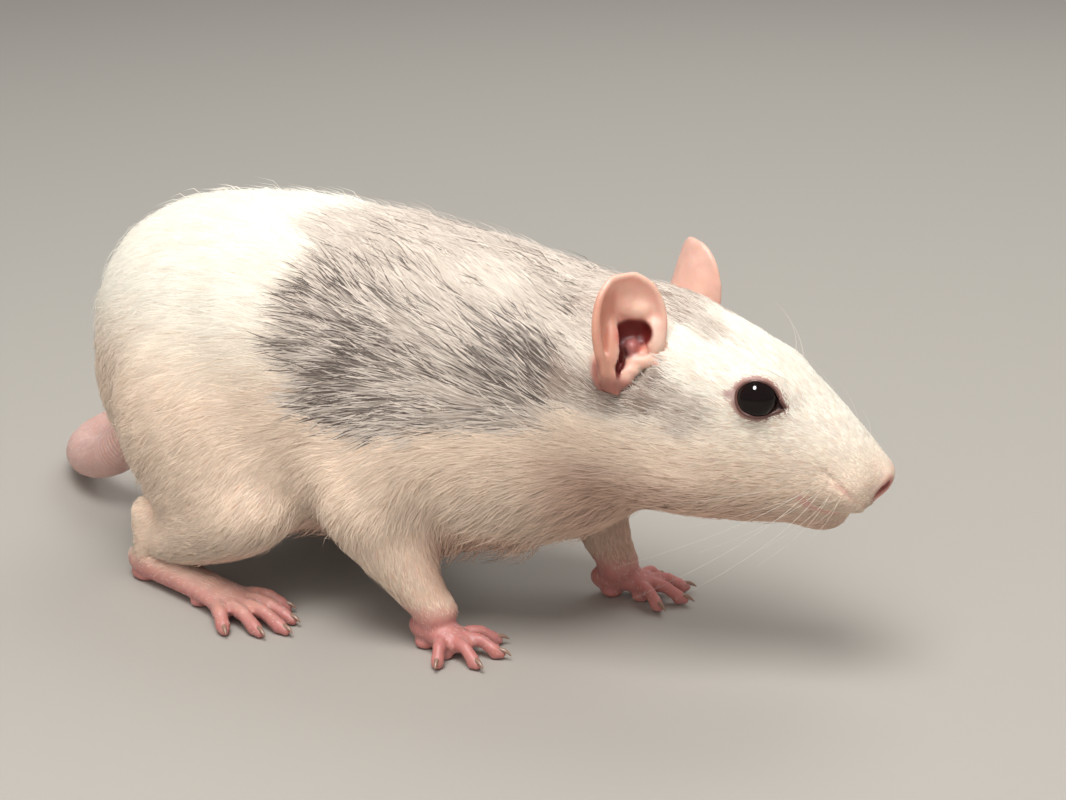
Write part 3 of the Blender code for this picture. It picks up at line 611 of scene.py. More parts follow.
# Lines pressed into the skin, each with its path and the reach and depth of its groove
mouth = {"path": ((39, 0, -11.6), (37.2, 2.4, -12.2), (35, 4.2, -12.9), (32.4, 5.8, -13.1),
                  (30, 7, -12.3), (28.4, 7.9, -11)), "radius": 0.42, "depth": 0.55}
cleft = {"path": ((40.8, 0, -7), (39.6, 0, -9.2), (38.6, 0, -11.6)), "radius": 0.36, "depth": 0.45}
crease = {"path": ((30.6, 7.4, -6), (32, 7.3, -6.9), (33.4, 7, -7.7), (35, 6.3, -8.8),
                   (36.6, 4.9, -10), (37.6, 3.4, -10.9)), "radius": 0.5, "depth": 0.5}
nostril = {"path": ((39, 1.5, -7), (38.8, 2.1, -7.8), (38.3, 2.7, -8.9)), "radius": 0.62, "depth": 1.15}


def eyeAxes(out):
    aim = sided(eye["aim"], out).normalized()
    forward = Vector((1.0, 0.0, -0.2))
    forward = (forward - aim * forward.dot(aim)).normalized()
    return aim, forward, aim.cross(forward) * out


def openingReach(angles):
    # from the middle of the eye to the edge of its opening
    points = np.array(eye["opening"])
    around = np.arctan2(points[:, 1], points[:, 0])
    return np.interp(angles, around, np.hypot(points[:, 0], points[:, 1]), period=2 * math.pi)


def aroundEye(spots, out=1):
    # for points of the head's frame: how far beyond the edge of the opening, ahead, down and how high
    local = spots - np.array(sided(eye["place"], out))
    high, ahead, down = (local @ np.array(axis) for axis in eyeAxes(out))
    gap = np.hypot(ahead, down) - openingReach(np.arctan2(down, ahead))
    return np.where(high > -1.5, gap, 50.0), ahead, down, high


def sculpt(skin):
    # presses the mouth, cleft lip, nostrils, folds and eye sockets into the fine skin
    points, normals = getVerts(skin), getVerts(skin, "normal")
    folded = foldedIn(headToWorld, points)
    push = np.zeros(len(points))
    for groove in (mouth, cleft, crease, nostril):
        gap = toPath(folded, groove["path"])
        push += groove["depth"] * np.exp(-((gap / groove["radius"]) ** 2))
    push -= 0.1 * np.exp(-(((gap - 1.35) / 0.4) ** 2)) * (folded[:, 0] > 37.0)
    points = points - normals * push[:, None] * mm
    for out in sides.values():
        gap, ahead, down, high = aroundEye(measuredIn(headToWorld, points), out)
        across = np.sqrt(np.maximum(eye["radius"] ** 2 - ahead**2 - down**2, 0.0))
        sink = np.where(gap < -0.15, np.maximum(high - np.maximum(across - 0.7, 0.5), 0.0), 0.0)
        edge = np.sqrt(np.maximum(eye["radius"] ** 2 - (np.hypot(ahead, down) - gap) ** 2, 0.0))
        rise = np.maximum(np.minimum(edge, 2.0) - high, 0.0) * smoothStep(1.3, 0.1, gap)
        swell = np.where(gap >= -0.15, rise, 0.0)
        shift = (swell - sink)[:, None] * np.array(eyeAxes(out)[0])
        points = points + shift @ np.array(headToWorld.to_3x3()).T * mm
    setVerts(skin, points)


earCloud = []
skinMesh = {"voxel": 0.34, "faces": 175000, "unwrapFaces": 9000}


def makeSkin():
    pieces = [makeBody()]
    for side in sides:
        pieces.append(makeEar(side))
        for obj in (pieces[0], pieces[-1]):
            hollowOut(obj, side)
        earCloud.extend(getVerts(pieces[-1]).tolist())
        pieces.append(earBall(side, *earBump))
    for leg in legs:
        pieces += makeFoot(leg)
    pieces.append(makeTail())
    print("skin: pieces ready", len(pieces))
    skin = remesh(join("skin", pieces), skinMesh["voxel"], 3)
    print("skin: one surface of", len(skin.data.polygons), "faces")
    points = getVerts(skin)
    points[:, 2] = np.maximum(points[:, 2], 0.0)
    setVerts(skin, points)
    sculpt(skin)
    fine = bareness(points) + 0.8 * smoothStep(22, 30, measuredIn(headToWorld, points)[:, 0])
    group = skin.vertex_groups.new(name="coarse")
    weights = np.round(np.clip(1 - fine, 0, 1) * 4) / 4
    for level in np.unique(weights):
        group.add(np.nonzero(weights == level)[0].tolist(), float(level), "REPLACE")
    ratio = min(1.0, skinMesh["faces"] / (2 * len(skin.data.polygons)))
    modify(skin, "DECIMATE", ratio=ratio, vertex_group="coarse", vertex_group_factor=1.0,
           use_collapse_triangulate=True)
    skin.vertex_groups.clear()
    skin.data.shade_smooth()
    print("skin: thinned to", len(skin.data.polygons), "faces")
    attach(skin, "root")
    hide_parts(*[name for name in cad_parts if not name.startswith("eye")])
    return skin


# Where the skin is bare

# Ovals on the ear as it is seen: middle and half sizes
earAreas = {
    "inside": ((629, 345), (22, 34)), "foot": ((616, 369), (27, 31)), "hollow": ((630, 344), (19, 27)),
    "lobe": ((657, 335), (12, 20)), "flush": ((632, 336), (17, 17)),
}


def inArea(seen, name, outer, inner):
    # 1 within the inner share of an oval, fading to 0 at the outer one
    middle, sizes = np.array(earAreas[name])
    return smoothStep(outer, inner, np.hypot(*((seen[:, :2] - middle) / sizes).T))


def earShare(points):
    # 1 on the ears above their furry root, 0 elsewhere
    tree = treeOf(earCloud)
    spot = measuredIn(headToWorld, points)
    share = np.zeros(len(points))
    for side in sides:
        root, axis = earFrame(side)[:2]
        local = spot - np.array(root)
        rise = local @ np.array(axis)
        near = np.nonzero((sizeOf(local) < 20) & (rise > -1))[0]
        gap = np.array([tree.find(points[k])[2] for k in near]) / mm
        seen = earSeen(side, spot[near])
        lowest = smoothStep(2.0, 4.5, rise[near])
        inside = inArea(seen, "inside", 1.0, 0.6) * (seen[:, 2] > 10)
        # bare at the ear's foot, where the root's dark tone shows: painted shade over its own brownish red
        foot = inArea(seen, "foot", 1.0, 0.8) * (seen[:, 2] > 9) * smoothStep(1.8, 1.2, gap)
        hollow = inArea(seen, "hollow", 1.0, 0.85) * (seen[:, 2] > 7)
        onEar = smoothStep(0.9, 0.5, gap) * np.maximum(lowest, inside)
        share[near] = np.maximum(np.maximum(onEar, hollow), foot)
    return share


def footShare(points):
    spot = measuredIn(ratToWorld, points)
    share = np.zeros(len(points))
    for leg in legs:
        kind, out, turn, along, across, ankle = footFrame(leg)
        local = spot - np.array(ankle)
        ahead = local @ np.array(along)
        near = (np.abs(local @ np.array(across)) < 11) & (ahead > -6) & (ahead < kind["reach"] + 12)
        top = 10.0 if leg.startswith("fore") else 7.5
        share = np.maximum(share, near * smoothStep(top, top - 6.0, spot[:, 2]))
    return share


def rearPatch(ahead, down, high, outer, inner):
    # the bare skin behind the eye's rear corner
    gap = toPath(np.column_stack((ahead, down)), eye["rearCorner"])
    return smoothStep(outer, inner, gap) * (high > -1.5)


def bareness(points):
    # 1 where no fur grows
    folded = foldedIn(headToWorld, points)
    nose = smoothStep(3.9, 2.6, sizeOf(folded - (39.8, 0.0, -7.6)))
    lips = np.maximum(smoothStep(1.2, 0.4, toPath(folded, mouth["path"])),
                      smoothStep(0.6, 0.2, toPath(folded, crease["path"])) * 0.7)
    gap, ahead, down, high = aroundEye(folded)
    lid = np.maximum(smoothStep(0.7, 0.35, gap), rearPatch(ahead, down, high, 0.6, 0.35))
    run, inside = alongTail(measuredIn(ratToWorld, points))
    onTail = (inside < 2.0) * smoothStep(5, 12, run)
    return np.clip(nose + lips + lid + onTail + earShare(points) + footShare(points), 0, 1)


print("the frame is read")
skin = makeSkin()
skinTree = BVHTree.FromPolygons(getVerts(skin).tolist(), trianglesOf(skin).tolist())
claws = makeClaws()


# Eyes and lids

def makeEye(side):
    out = sides[side]
    turned = eyeAxes(out)[0].to_track_quat("Z", "Y").to_matrix().to_4x4()
    middle = Matrix.Translation(sided(eye["place"], out) * mm)
    made = sphere(headToWorld @ (middle @ turned), 64, 32, eye["radius"] * mm)
    made.name = made.data.name = "eyeball_" + side
    made.data.shade_smooth()
    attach(made, "root")
    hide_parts("eye_" + side)
    return made


def makeLid(side):
    # a thin rim round the opening, on the ball or on the skin beside it, whichever is higher
    out = sides[side]
    aim, forward, below = eyeAxes(out)
    middle = sided(eye["place"], out)
    points, radii = [], []
    for angle in np.arange(72) * math.pi / 36:
        reach = float(openingReach(angle))
        ahead, down = math.cos(angle) * reach, math.sin(angle) * reach
        place = middle + forward * ahead + below * down
        onBall = math.sqrt(max(eye["radius"] ** 2 - reach**2, 0.0)) + 0.12
        hit = skinTree.ray_cast(inWorld(headToWorld, place + aim * 6), -(headToWorld.to_3x3() @ aim))[0]
        onSkin = (headToWorld.inverted() @ hit / mm - place).dot(aim) if hit else 0.0
        points.append(place + aim * max(min(onBall, 2.1), min(onSkin, 2.0)))
        radii.append(eye["rim"] * (1 + 0.2 * math.sin(angle)))
    made = sweep("lid_" + side, headToWorld, points, radii, closed=True, smooth=4)
    made.name = made.data.name = "lid_" + side
    made.data.shade_smooth()
    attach(made, "root")
    return made


eyes = [makeEye(side) for side in sides]
lids = [makeLid(side) for side in sides]
print("eyes and lids are made")


# Surfaces

class Wire:
    # a shader value that adds, multiplies and mixes like a number
    def __init__(self, tree, socket):
        self.tree, self.socket = tree, socket

    def node(self, kind, output, inputs, **settings):
        made = self.tree.nodes.new(kind)
        for key, value in settings.items():
            setattr(made, key, value)
        for key, value in inputs.items():
            if isinstance(value, Wire):
                self.tree.links.new(value.socket, made.inputs[key])
            else:
                made.inputs[key].default_value = value
        return Wire(self.tree, made.outputs[output])

    def math(self, operation, *values):
        return self.node("ShaderNodeMath", 0, dict(enumerate(values)), operation=operation)

    def __add__(self, other):
        return self.math("ADD", self, other)

    def __mul__(self, other):
        return self.math("MULTIPLY", self, other)

    def __sub__(self, other):
        return self.math("SUBTRACT", self, other)

    def __rsub__(self, other):
        return self.math("SUBTRACT", other, self)

    def __truediv__(self, other):
        return self.math("DIVIDE", self, other)

    def __pow__(self, other):
        return self.math("POWER", self, other)

    __radd__, __rmul__ = __add__, __mul__

    def blend(self, low, high):
        # a colour between two, by this share
        return self.node("ShaderNodeMix", 2, {0: self, 6: (*low, 1.0), 7: (*high, 1.0)}, data_type="RGBA")

    def tint(self, other):
        inputs = {0: 1.0, 6: self, 7: other}
        return self.node("ShaderNodeMix", 2, inputs, data_type="RGBA", blend_type="MULTIPLY")

    def ramp(self, low, high):
        return self.node("ShaderNodeMapRange", 0, {0: self, 1: low, 2: high}, interpolation_type="SMOOTHSTEP")

    def noise(self, scale, detail, rough):
        inputs = {"Vector": self, "Scale": scale, "Detail": detail, "Roughness": rough}
        return self.node("ShaderNodeTexNoise", 0, inputs)

    def attribute(self, name, output=0):
        return self.node("ShaderNodeAttribute", output, {}, attribute_name=name)


def newMaterial(name, colour, roughness, **constants):
    material = bpy.data.materials.new(name)
    material.use_nodes = True
    tree = material.node_tree
    shader = tree.nodes["Principled BSDF"]
    start = Wire(tree, None)
    start.shader = shader
    start.place = start.node("ShaderNodeTexCoord", "Object", {})
    if callable(colour):
        tree.links.new(colour(start).socket, shader.inputs["Base Color"])
    else:
        shader.inputs["Base Color"].default_value = (*colour, 1.0)
    for key, value in {"Roughness": roughness, **constants}.items():
        shader.inputs[key].default_value = value
    return material, start


def giveBump(start, height, strength, distance):
    inputs = {"Height": height, "Strength": strength, "Distance": distance * mm}
    bump = start.node("ShaderNodeBump", 0, inputs)
    start.tree.links.new(bump.socket, start.shader.inputs["Normal"])


def wear(obj, material):
    obj.data.materials.clear()
    obj.data.materials.append(material)


def paint(obj, name, colours):
    # one colour for each vertex, kept as an attribute
    layer = obj.data.color_attributes.new(name, "FLOAT_COLOR", "POINT")
    values = np.ones((len(colours), 4), np.float32)
    values[:, :3] = colours
    layer.data.foreach_set("color", values.ravel())


def give(obj, name, values):
    layer = obj.data.attributes.new(name, "FLOAT", "POINT")
    layer.data.foreach_set("value", values.astype(np.float32))


# Markings: one set for skin and coat. The pale coat darkens and warms from the top down to the belly: partly
# its own colour, partly painted shade

markings = {
    "white": (0.94, 0.89, 0.795),  # along the top
    "cream": (0.85, 0.68, 0.55),  # down the sides, on the cheeks and on the legs: a creamier coat, partly painted shade
    "shade": (0.72, 0.475, 0.37),  # under the jaw, throat and belly: painted shade, partly a tan underside
    "light": (0.80, 0.71, 0.635),  # light strands in the hood
    "grey": (0.39, 0.325, 0.285),
    "dark": (0.125, 0.098, 0.085),
    "smudge": (0.36, 0.27, 0.225),  # dark strands on the head
}
# The hood's edges: how far back it reaches by height, and how far down by distance forward
hoodBack = ((35.1, -15.9), (37.1, -20.1), (42.2, -22.6), (47.9, -25.1), (53.4, -26.2), (58.6, -26.8),
            (62.4, -27.6))
hoodLow = ((-15.9, 35.1), (-7, 35.6), (-1, 36.6), (4.6, 38.5), (10.7, 39.6), (16.6, 40.3), (22.8, 42.6),
           (25.6, 44.5))
# How dark the coat is round a spot: place and share in the rat's frame, place, reach and share in the head's
hoodSpots = (
    ((12.1, 14, 50.7), 0.65), ((17.6, 14.1, 48.6), 0.85), ((21.2, 14.3, 44.7), 0.9),
    ((24.3, 13.7, 42.1), 0.6), ((15, 16.5, 43), 0.6), ((5.2, 14.5, 52.7), 0.35),
    ((-4.3, 14.3, 55.8), 0.35), ((-14.3, 21.3, 46.3), 0.65), ((-16.9, 23.2, 40), 0.5),
    ((-4.6, 21.6, 40.3), 0.6), ((3, 19.3, 39.5), 0.35), ((-13.8, 19.3, 50.7), 0.55),
    ((0.1, 10, 58.6), 0.2), ((9.1, 9.8, 56.9), 0.15), ((17.3, 11.3, 54), 0.15),
    ((22.6, 11.2, 53.3), 0.1), ((-15, 3, 62), 0.3), ((-24, 4, 62), 0.2), ((14, 0, 60), 0.3),
)
headSpots = (
    ((-0.6, 1.3, 11.4), 5, 0.5), ((6.2, 3, 10.8), 3.5, 0.45), ((10.1, 4.9, 9.4), 3, 0.25),
    ((-3.2, 14.3, -2.3), 3.5, 0.8), ((-0.2, 14.2, -2.1), 3, 0.8), ((3.8, 13.5, -0.3), 3, 0.7),
    ((3.6, 12.2, 2), 2.6, 0.7), ((5, 13.7, -1.4), 2.8, 0.7), ((8.3, 12.8, -0.7), 2.6, 0.4),
    ((11.3, 12.2, -1), 2.4, 0.3), ((10.6, 12.7, -3), 2.6, 0.35), ((2.2, 3.2, 10.6), 3, 0.55),
    ((5.2, 4.6, 9.6), 2.4, 0.45), ((-8, 8, 8), 6, 0.5),
)


def darkShare(points):
    # how much of the coat is dark at each point
    rat, inHead = foldedIn(ratToWorld, points), foldedIn(headToWorld, points)
    across = measuredIn(ratToWorld, points)[:, 1]
    ragged = 2.4 * np.sin(across * 0.42 + 0.6) + 1.1 * np.sin(across * 1.15 + 2.0)
    ragged *= smoothStep(54, 60, rat[:, 2])
    weight, total = np.zeros(len(points)), np.zeros(len(points))
    for place, share in hoodSpots:
        near = 1.0 / (np.sum((rat - place) ** 2, axis=1) + 2.0) ** 2
        weight += near
        total += near * share
    wobble = 1.3 * np.sin(rat[:, 2] * 0.9 + 1.0) + 0.9 * np.sin(rat[:, 0] * 1.3)
    back = np.interp(rat[:, 2], *zip(*hoodBack)) + wobble + ragged
    low = np.interp(rat[:, 0], *zip(*hoodLow)) + 0.6 * wobble
    hood = smoothStep(-4.0, 3.0, rat[:, 0] - back) * smoothStep(-2.4, 2.4, rat[:, 2] - low)
    hood *= smoothStep(-3.0, -8.0, inHead[:, 0])
    share = hood * total / weight
    for place, reach, amount in headSpots:
        gap = sizeOf(inHead - place)
        share = np.maximum(share, amount * smoothStep(reach * 1.5, reach * 0.4, gap))
    return share


def paleToneAndPaintedShade(points):
    # white along the top, cream lower down, tan underneath: partly the coat's own colour, partly painted
    # shade
    rat, inHead = inBoth(points)
    onHead = smoothStep(-12, 0, inHead[:, 0])
    side = smoothStep(53, 35, rat[:, 2]) * (1 - onHead) + smoothStep(3, -11, inHead[:, 2]) * onHead
    low = smoothStep(28, 14, rat[:, 2]) * 0.8 * smoothStep(22, 14, np.abs(rat[:, 1]))
    low *= (rat[:, 2] > 9) * (1 - onHead)
    throat = smoothStep(-10, -18, inHead[:, 2]) * onHead * 0.9
    tone = mixed(markings["white"], markings["cream"], side)
    return mixed(tone, markings["shade"], np.maximum(low, throat))


skinTones = {
    "earOut": (0.86, 0.55, 0.46), "earIn": (1.0, 0.64, 0.52), "earBand": (0.80, 0.43, 0.32),
    # the darkest ear tone is painted shade in the hollows, over their own deep red
    "earLobe": (0.93, 0.66, 0.55), "earFlush": (0.84, 0.22, 0.17), "earHollowShade": (0.20, 0.022, 0.018),
    # the ear's root tone: painted shade where the root lies in shadow, over its own brownish red
    "earBump": (0.52, 0.21, 0.20), "earRootShade": (0.40, 0.15, 0.125),
    "foot": (0.58, 0.245, 0.225), "tail": (0.68, 0.43, 0.38),
    # the nostril tone: its own dark red, partly painted shade in the opening
    "nose": (0.93, 0.73, 0.60), "pad": (0.66, 0.26, 0.23), "nostril": (0.27, 0.06, 0.05),
    "lip": (0.72, 0.38, 0.33), "lid": (0.42, 0.24, 0.21), "rearCorner": (0.55, 0.38, 0.36),
    # inside the eye's opening: painted shade, near black, partly the front corner's own dark skin
    "socketShade": (0.05, 0.012, 0.01),
}


def earColours(side, spot, normals):
    seen = earSeen(side, spot)
    faces = (normals @ np.array(headToWorld.to_3x3())) @ np.array(earFrame(side)[2])
    tone = mixed(skinTones["earOut"], skinTones["earIn"], smoothStep(-0.3, 0.5, faces))
    band = smoothStep(619, 612, seen[:, 0]) * smoothStep(282, 300, seen[:, 1])
    tone = mixed(tone, skinTones["earBand"], band * (faces > -0.4))
    tone = mixed(tone, skinTones["earLobe"], inArea(seen, "lobe", 1.0, 0.3))
    tone = mixed(tone, skinTones["earFlush"], inArea(seen, "flush", 1.25, 0.75) * 0.8)
    steps = (earSight["step"], earSight["step"], 1.0)
    # the hollows are painted near black: painted shade in the recesses, over the ear's own deep red
    for place, radii in earHollows:
        away = (seen - place) * steps / np.array(radii) * (1, 1, 0.6)
        deep = smoothStep(1.35, 0.95, sizeOf(away)) * (seen[:, 2] < 14.6)
        tone = mixed(tone, skinTones["earHollowShade"], deep)
    bump = (seen - earBump[0]) * steps / np.array(earBump[1])
    tone = mixed(tone, skinTones["earBump"], smoothStep(1.5, 0.9, sizeOf(bump)))
    # the lowest part and the rear of the root: painted shade, where the root lies in shadow
    low = np.maximum(smoothStep(370, 386, seen[:, 1]),
                     smoothStep(352, 366, seen[:, 1]) * smoothStep(603, 596, seen[:, 0]))
    return mixed(tone, skinTones["earRootShade"], low * 0.85), sizeOf(spot - np.array(earFrame(side)[0])) < 20


def skinColours(points, normals):
    folded = foldedIn(headToWorld, points)
    # under the fur the skin takes the coat's pale colour, painted shade included, a little pinker and darker
    furred = paleToneAndPaintedShade(points) * (0.93, 0.88, 0.85)
    tone = mixed(furred, np.array(markings["grey"]) * 0.6, np.clip(darkShare(points) * 1.4, 0, 1))
    inMouth, inCrease, inNostril = (toPath(folded, line["path"]) for line in (mouth, crease, nostril))
    gap, ahead, down, high = aroundEye(folded)
    for name, share in (
        ("nose", smoothStep(5.6, 3.0, sizeOf(folded - (39.4, 0.0, -7.0)))),
        ("lip", smoothStep(1.7, 0.4, inMouth) * 0.9),
        ("lip", smoothStep(1.0, 0.2, inCrease) * 0.6),
        ("pad", smoothStep(2.0, 0.9, inNostril) * (folded[:, 0] > 36.6) * 0.8),
        # the nostril's dark red is partly painted shade in its opening
        ("nostril", smoothStep(0.95, 0.5, inNostril)),
        ("lid", smoothStep(1.2, 0.4, gap)),
        ("rearCorner", rearPatch(ahead, down, high, 1.0, 0.5)),
        # the skin inside the eye's opening: painted shade in the socket, partly the corner's own dark skin
        ("socketShade", smoothStep(-0.05, -0.25, gap)),
    ):
        tone = mixed(tone, skinTones[name], share)
    bareEar = earShare(points)
    for side in sides:
        onEar, close = earColours(side, measuredIn(headToWorld, points), normals)
        tone = mixed(tone, onEar, bareEar * close)
    tone = mixed(tone, skinTones["foot"], footShare(points))
    run, inside = alongTail(measuredIn(ratToWorld, points))
    tone = mixed(tone, skinTones["tail"], (inside < 2.0) * smoothStep(4, 9, run))
    return tone, run * (inside < 2.0)


skinPoints, skinNormals = getVerts(skin), getVerts(skin, "normal")
tones, tailRun = skinColours(skinPoints, skinNormals)
paint(skin, "skinTone", tones)
give(skin, "tailRun", tailRun)
print("the skin has its markings")


def skinMaterial():
    def colour(start):
        tone = start.attribute("skinTone")
        blotch = start.place.noise(260.0, 4.0, 0.6)
        return tone.tint(blotch.ramp(0.3, 0.75).blend((0.88, 0.84, 0.84), (1.0, 1.0, 1.0)))

    material, start = newMaterial("skin", colour, 0.5, **{
        "Subsurface Weight": 0.55, "Subsurface Radius": (1.0, 0.35, 0.2), "Subsurface Scale": 1.3 * mm,
        "Specular IOR Level": 0.45})
    run = start.attribute("tailRun", "Fac")
    rings = run.math("SINE", run * 6.9) * run.ramp(6.0, 12.0)
    fine = start.place.noise(2600.0, 3.0, 0.65)
    giveBump(start, fine * 0.5 + rings * 0.5, 0.6, 0.16)
    return material


wear(skin, skinMaterial())
eyeMaterial = newMaterial("eye", (0.008, 0.004, 0.004), 0.03, **{"Specular IOR Level": 0.22})[0]
lidMaterial = newMaterial("lid", (0.13, 0.06, 0.05), 0.35, **{
    "Subsurface Weight": 0.2, "Subsurface Scale": 0.6 * mm})[0]
clawMaterial = newMaterial("claw", (0.33, 0.20, 0.15), 0.35)[0]
for made in eyes:
    wear(made, eyeMaterial)
for made in lids:
    wear(made, lidMaterial)
wear(claws, clawMaterial)


# Coat

# Guides: place, the way the hair lies, its length and how steeply it leaves the skin. Those off the middle
# are on both sides, with +Y outwards.
bodyGuides = (
    ((-78, 0, 48), (-0.4, 0, -0.9), 7, 14), ((-70, 0, 58), (-0.8, 0, -0.6), 7.5, 16),
    ((-80, 0, 36), (-0.2, 0, -1), 5.5, 12), ((-55, 0, 62.5), (-1, 0, -0.1), 8, 18),
    ((-35, 0, 63.4), (-1, 0, 0), 8, 22), ((-15, 0, 62.5), (-1, 0, 0), 8, 24),
    ((0, 0, 61.5), (-1, 0, 0), 7.5, 22), ((13, 0, 60), (-1, 0, 0.1), 6.5, 20),
    ((-62, 20, 50), (-0.9, 0.1, -0.4), 7.5, 15), ((-42, 24, 50), (-1, 0.05, -0.15), 7.5, 16),
    ((-25, 23, 50), (-1, 0, 0), 7.5, 18), ((-10, 21, 50), (-1, 0, 0.12), 7.5, 20),
    ((0, 17, 49), (-0.95, 0, 0.28), 7.5, 22), ((10, 15.5, 47), (-0.9, 0, 0.42), 7, 22),
    ((19, 14, 46), (-0.82, 0, 0.55), 6.5, 22), ((23, 12, 52), (-0.85, -0.05, 0.5), 5.5, 20),
    ((12, 10, 57), (-0.93, -0.15, 0.3), 6.5, 20),
    ((-2, 13, 57), (-0.85, -0.2, 0.4), 7.5, 20), ((-14, 15, 57), (-0.87, -0.2, 0.36), 7.5, 20),
    ((-30, 25, 36), (-1, 0.05, -0.2), 7, 15),
    ((-14, 24, 36), (-1, 0.05, -0.2), 7.5, 17), ((0, 20, 36), (-0.96, 0.1, -0.2), 7.5, 20),
    ((12, 16, 36), (-0.97, 0.1, -0.08), 7, 20), ((20, 13, 36), (-0.95, 0.1, 0.08), 6.5, 20),
    ((8, 14, 26), (-0.83, 0.1, -0.5), 7.5, 24), ((18, 10, 28), (-0.9, 0.05, -0.35), 7, 24),
    ((8, 0, 17), (-0.8, 0, -0.6), 7, 30), ((20, 0, 22), (-0.75, 0, -0.65), 6.5, 32),
    ((-1, 10, 16), (-0.7, 0.05, -0.7), 6.3, 25), ((2, 20, 19), (0.2, 0, -1), 3, 12),
    ((5.5, 20, 13.5), (0.35, 0, -0.94), 2.1, 10), ((8, 19, 9), (0.5, 0, -0.85), 1.3, 10),
    ((5, 15.5, 14), (0.3, 0, -0.95), 2.2, 12),
    ((-10, 0, 11.5), (-0.9, 0, -0.4), 6.3, 22), ((-35, 0, 10.5), (-1, 0, -0.2), 6, 16),
    ((-60, 0, 12), (-1, 0, 0), 5.5, 12), ((-20, 20, 16), (-1, 0, -0.35), 6.5, 18),
    ((-42, 27, 38), (-0.8, 0.05, -0.55), 7, 14), ((-58, 25, 36), (-0.85, 0.05, -0.5), 6.5, 13),
    ((-70, 18, 34), (-0.6, 0, -0.8), 6, 13), ((-32, 28, 26), (-0.6, 0, -0.8), 5.5, 14),
    ((-48, 27, 24), (-0.75, 0, -0.65), 5.5, 14), ((-64, 22, 20), (-0.5, 0, -0.85), 5, 13),
    ((-42, 26, 12), (-0.95, 0, -0.3), 3.6, 14), ((-55, 23, 9), (-0.8, 0, -0.5), 2.2, 14),
    ((-8, 23, 30), (-0.75, 0.1, -0.6), 6.5, 16), ((-16, 23, 24), (-0.6, 0.1, -0.8), 5.5, 20),
    ((-2, 20, 26), (-0.5, 0.1, -0.85), 5.5, 16), ((-12, 19, 18), (0.1, 0, -1), 3.2, 12),
    ((-8, 18, 12), (0.35, 0, -0.94), 2.1, 10), ((-4, 17, 8), (0.5, 0, -0.85), 1.3, 10),
)
headGuides = (
    ((39, 0, -4.6), (-1, 0, 0.5), 0.6, 12), ((35, 0, -1.8), (-1, 0, 0.5), 1, 12),
    ((29, 0, 2.4), (-1, 0, 0.45), 1.5, 13), ((22, 0, 6.5), (-1, 0, 0.3), 2.3, 15),
    ((15, 0, 9.3), (-1, 0, 0.15), 3.2, 17), ((7, 0, 11), (-1, 0, 0.05), 4.3, 19),
    ((-3, 0, 11.3), (-1, 0, -0.05), 5.5, 21), ((38, 2.6, -6), (-1, 0.3, 0.3), 0.5, 12),
    ((33, 5, -4), (-1, 0.1, 0.25), 1.1, 12), ((28, 7.4, -3.5), (-1, 0.1, 0.1), 1.6, 13),
    ((35.5, 4.8, -8), (-1, 0.15, -0.1), 0.8, 12), ((31.5, 7.3, -8.6), (-1, 0.1, -0.1), 1.3, 14),
    ((35, 3.5, -12), (-0.9, 0.2, -0.6), 0.9, 18), ((26, 8.6, -8), (-1, 0.1, -0.1), 2, 15),
    ((20, 10.4, -9), (-1, 0.1, -0.12), 3, 17), ((14, 12.4, -10), (-1, 0.1, -0.08), 4, 18),
    ((6, 14, -9), (-1, 0.05, 0), 5, 20), ((-4, 14.5, -8), (-1, 0, 0.12), 6, 21),
    ((18, 6.8, 7.4), (-1, 0, 0.3), 2.3, 15), ((23.5, 7.4, 2.6), (-0.9, 0.05, 0.45), 1.5, 13),
    ((24, 8.4, -1.8), (-1, 0.1, -0.1), 1.7, 13), ((18, 10.9, -3.8), (-1, 0.1, -0.15), 2.4, 15),
    ((12.5, 11.8, 1.5), (-1, 0.1, 0.08), 2.6, 16), ((12, 9.6, 7), (-1, 0.05, 0.2), 2.8, 17),
    ((6.5, 12.4, 3.5), (-1, 0.2, 0.2), 3, 22), ((5, 9.8, 8), (-0.95, 0.1, 0.45), 3.2, 24),
    ((3, 14.2, -3.5), (-1, 0.1, 0.05), 4.2, 19), ((-5, 12, 5), (-1, 0, 0.15), 4.6, 20),
    ((30, 0, -17), (-1, 0, -0.3), 1.8, 20), ((24, 0, -18.8), (-1, 0, -0.3), 3, 22),
    ((14, 0, -20.8), (-1, 0, -0.3), 4.5, 24), ((0, 0, -22.2), (-0.95, 0, -0.35), 6, 28),
    ((26, 6.5, -14.5), (-1, 0.1, -0.3), 2.2, 18), ((17, 9, -17), (-1, 0.1, -0.25), 3.6, 20),
    ((5, 11, -18), (-1, 0.05, -0.2), 5.2, 24),
)
# Four values are for body, head, legs and bare skin. The density is in tufts to the square millimetre.
coat = {
    "density": (6.2, 10.0, 8.0, 1.0), "snoutDensity": 1.1, "width": (0.20, 0.14, 0.125, 0.05),
    "bareFrom": 0.55, "bareLength": 0.9,
    "underShare": 0.42, "underWidth": 1.25, "underLength": 0.62, "underLift": 0.75,
    "strayShare": 0.05, "fringe": 0.1, "strayWidth": 0.6, "strayLength": 1.12, "strayLift": 1.3,
    "clumpEvery": 11, "clumpPull": 0.5, "clumpReach": 2.2, "normalBlend": 0.74, "patch": 0.003,
    "quickShare": 0.3, "quickWidth": 1.8,
    "pieceTufts": 19500,  # most tufts in one piece
}


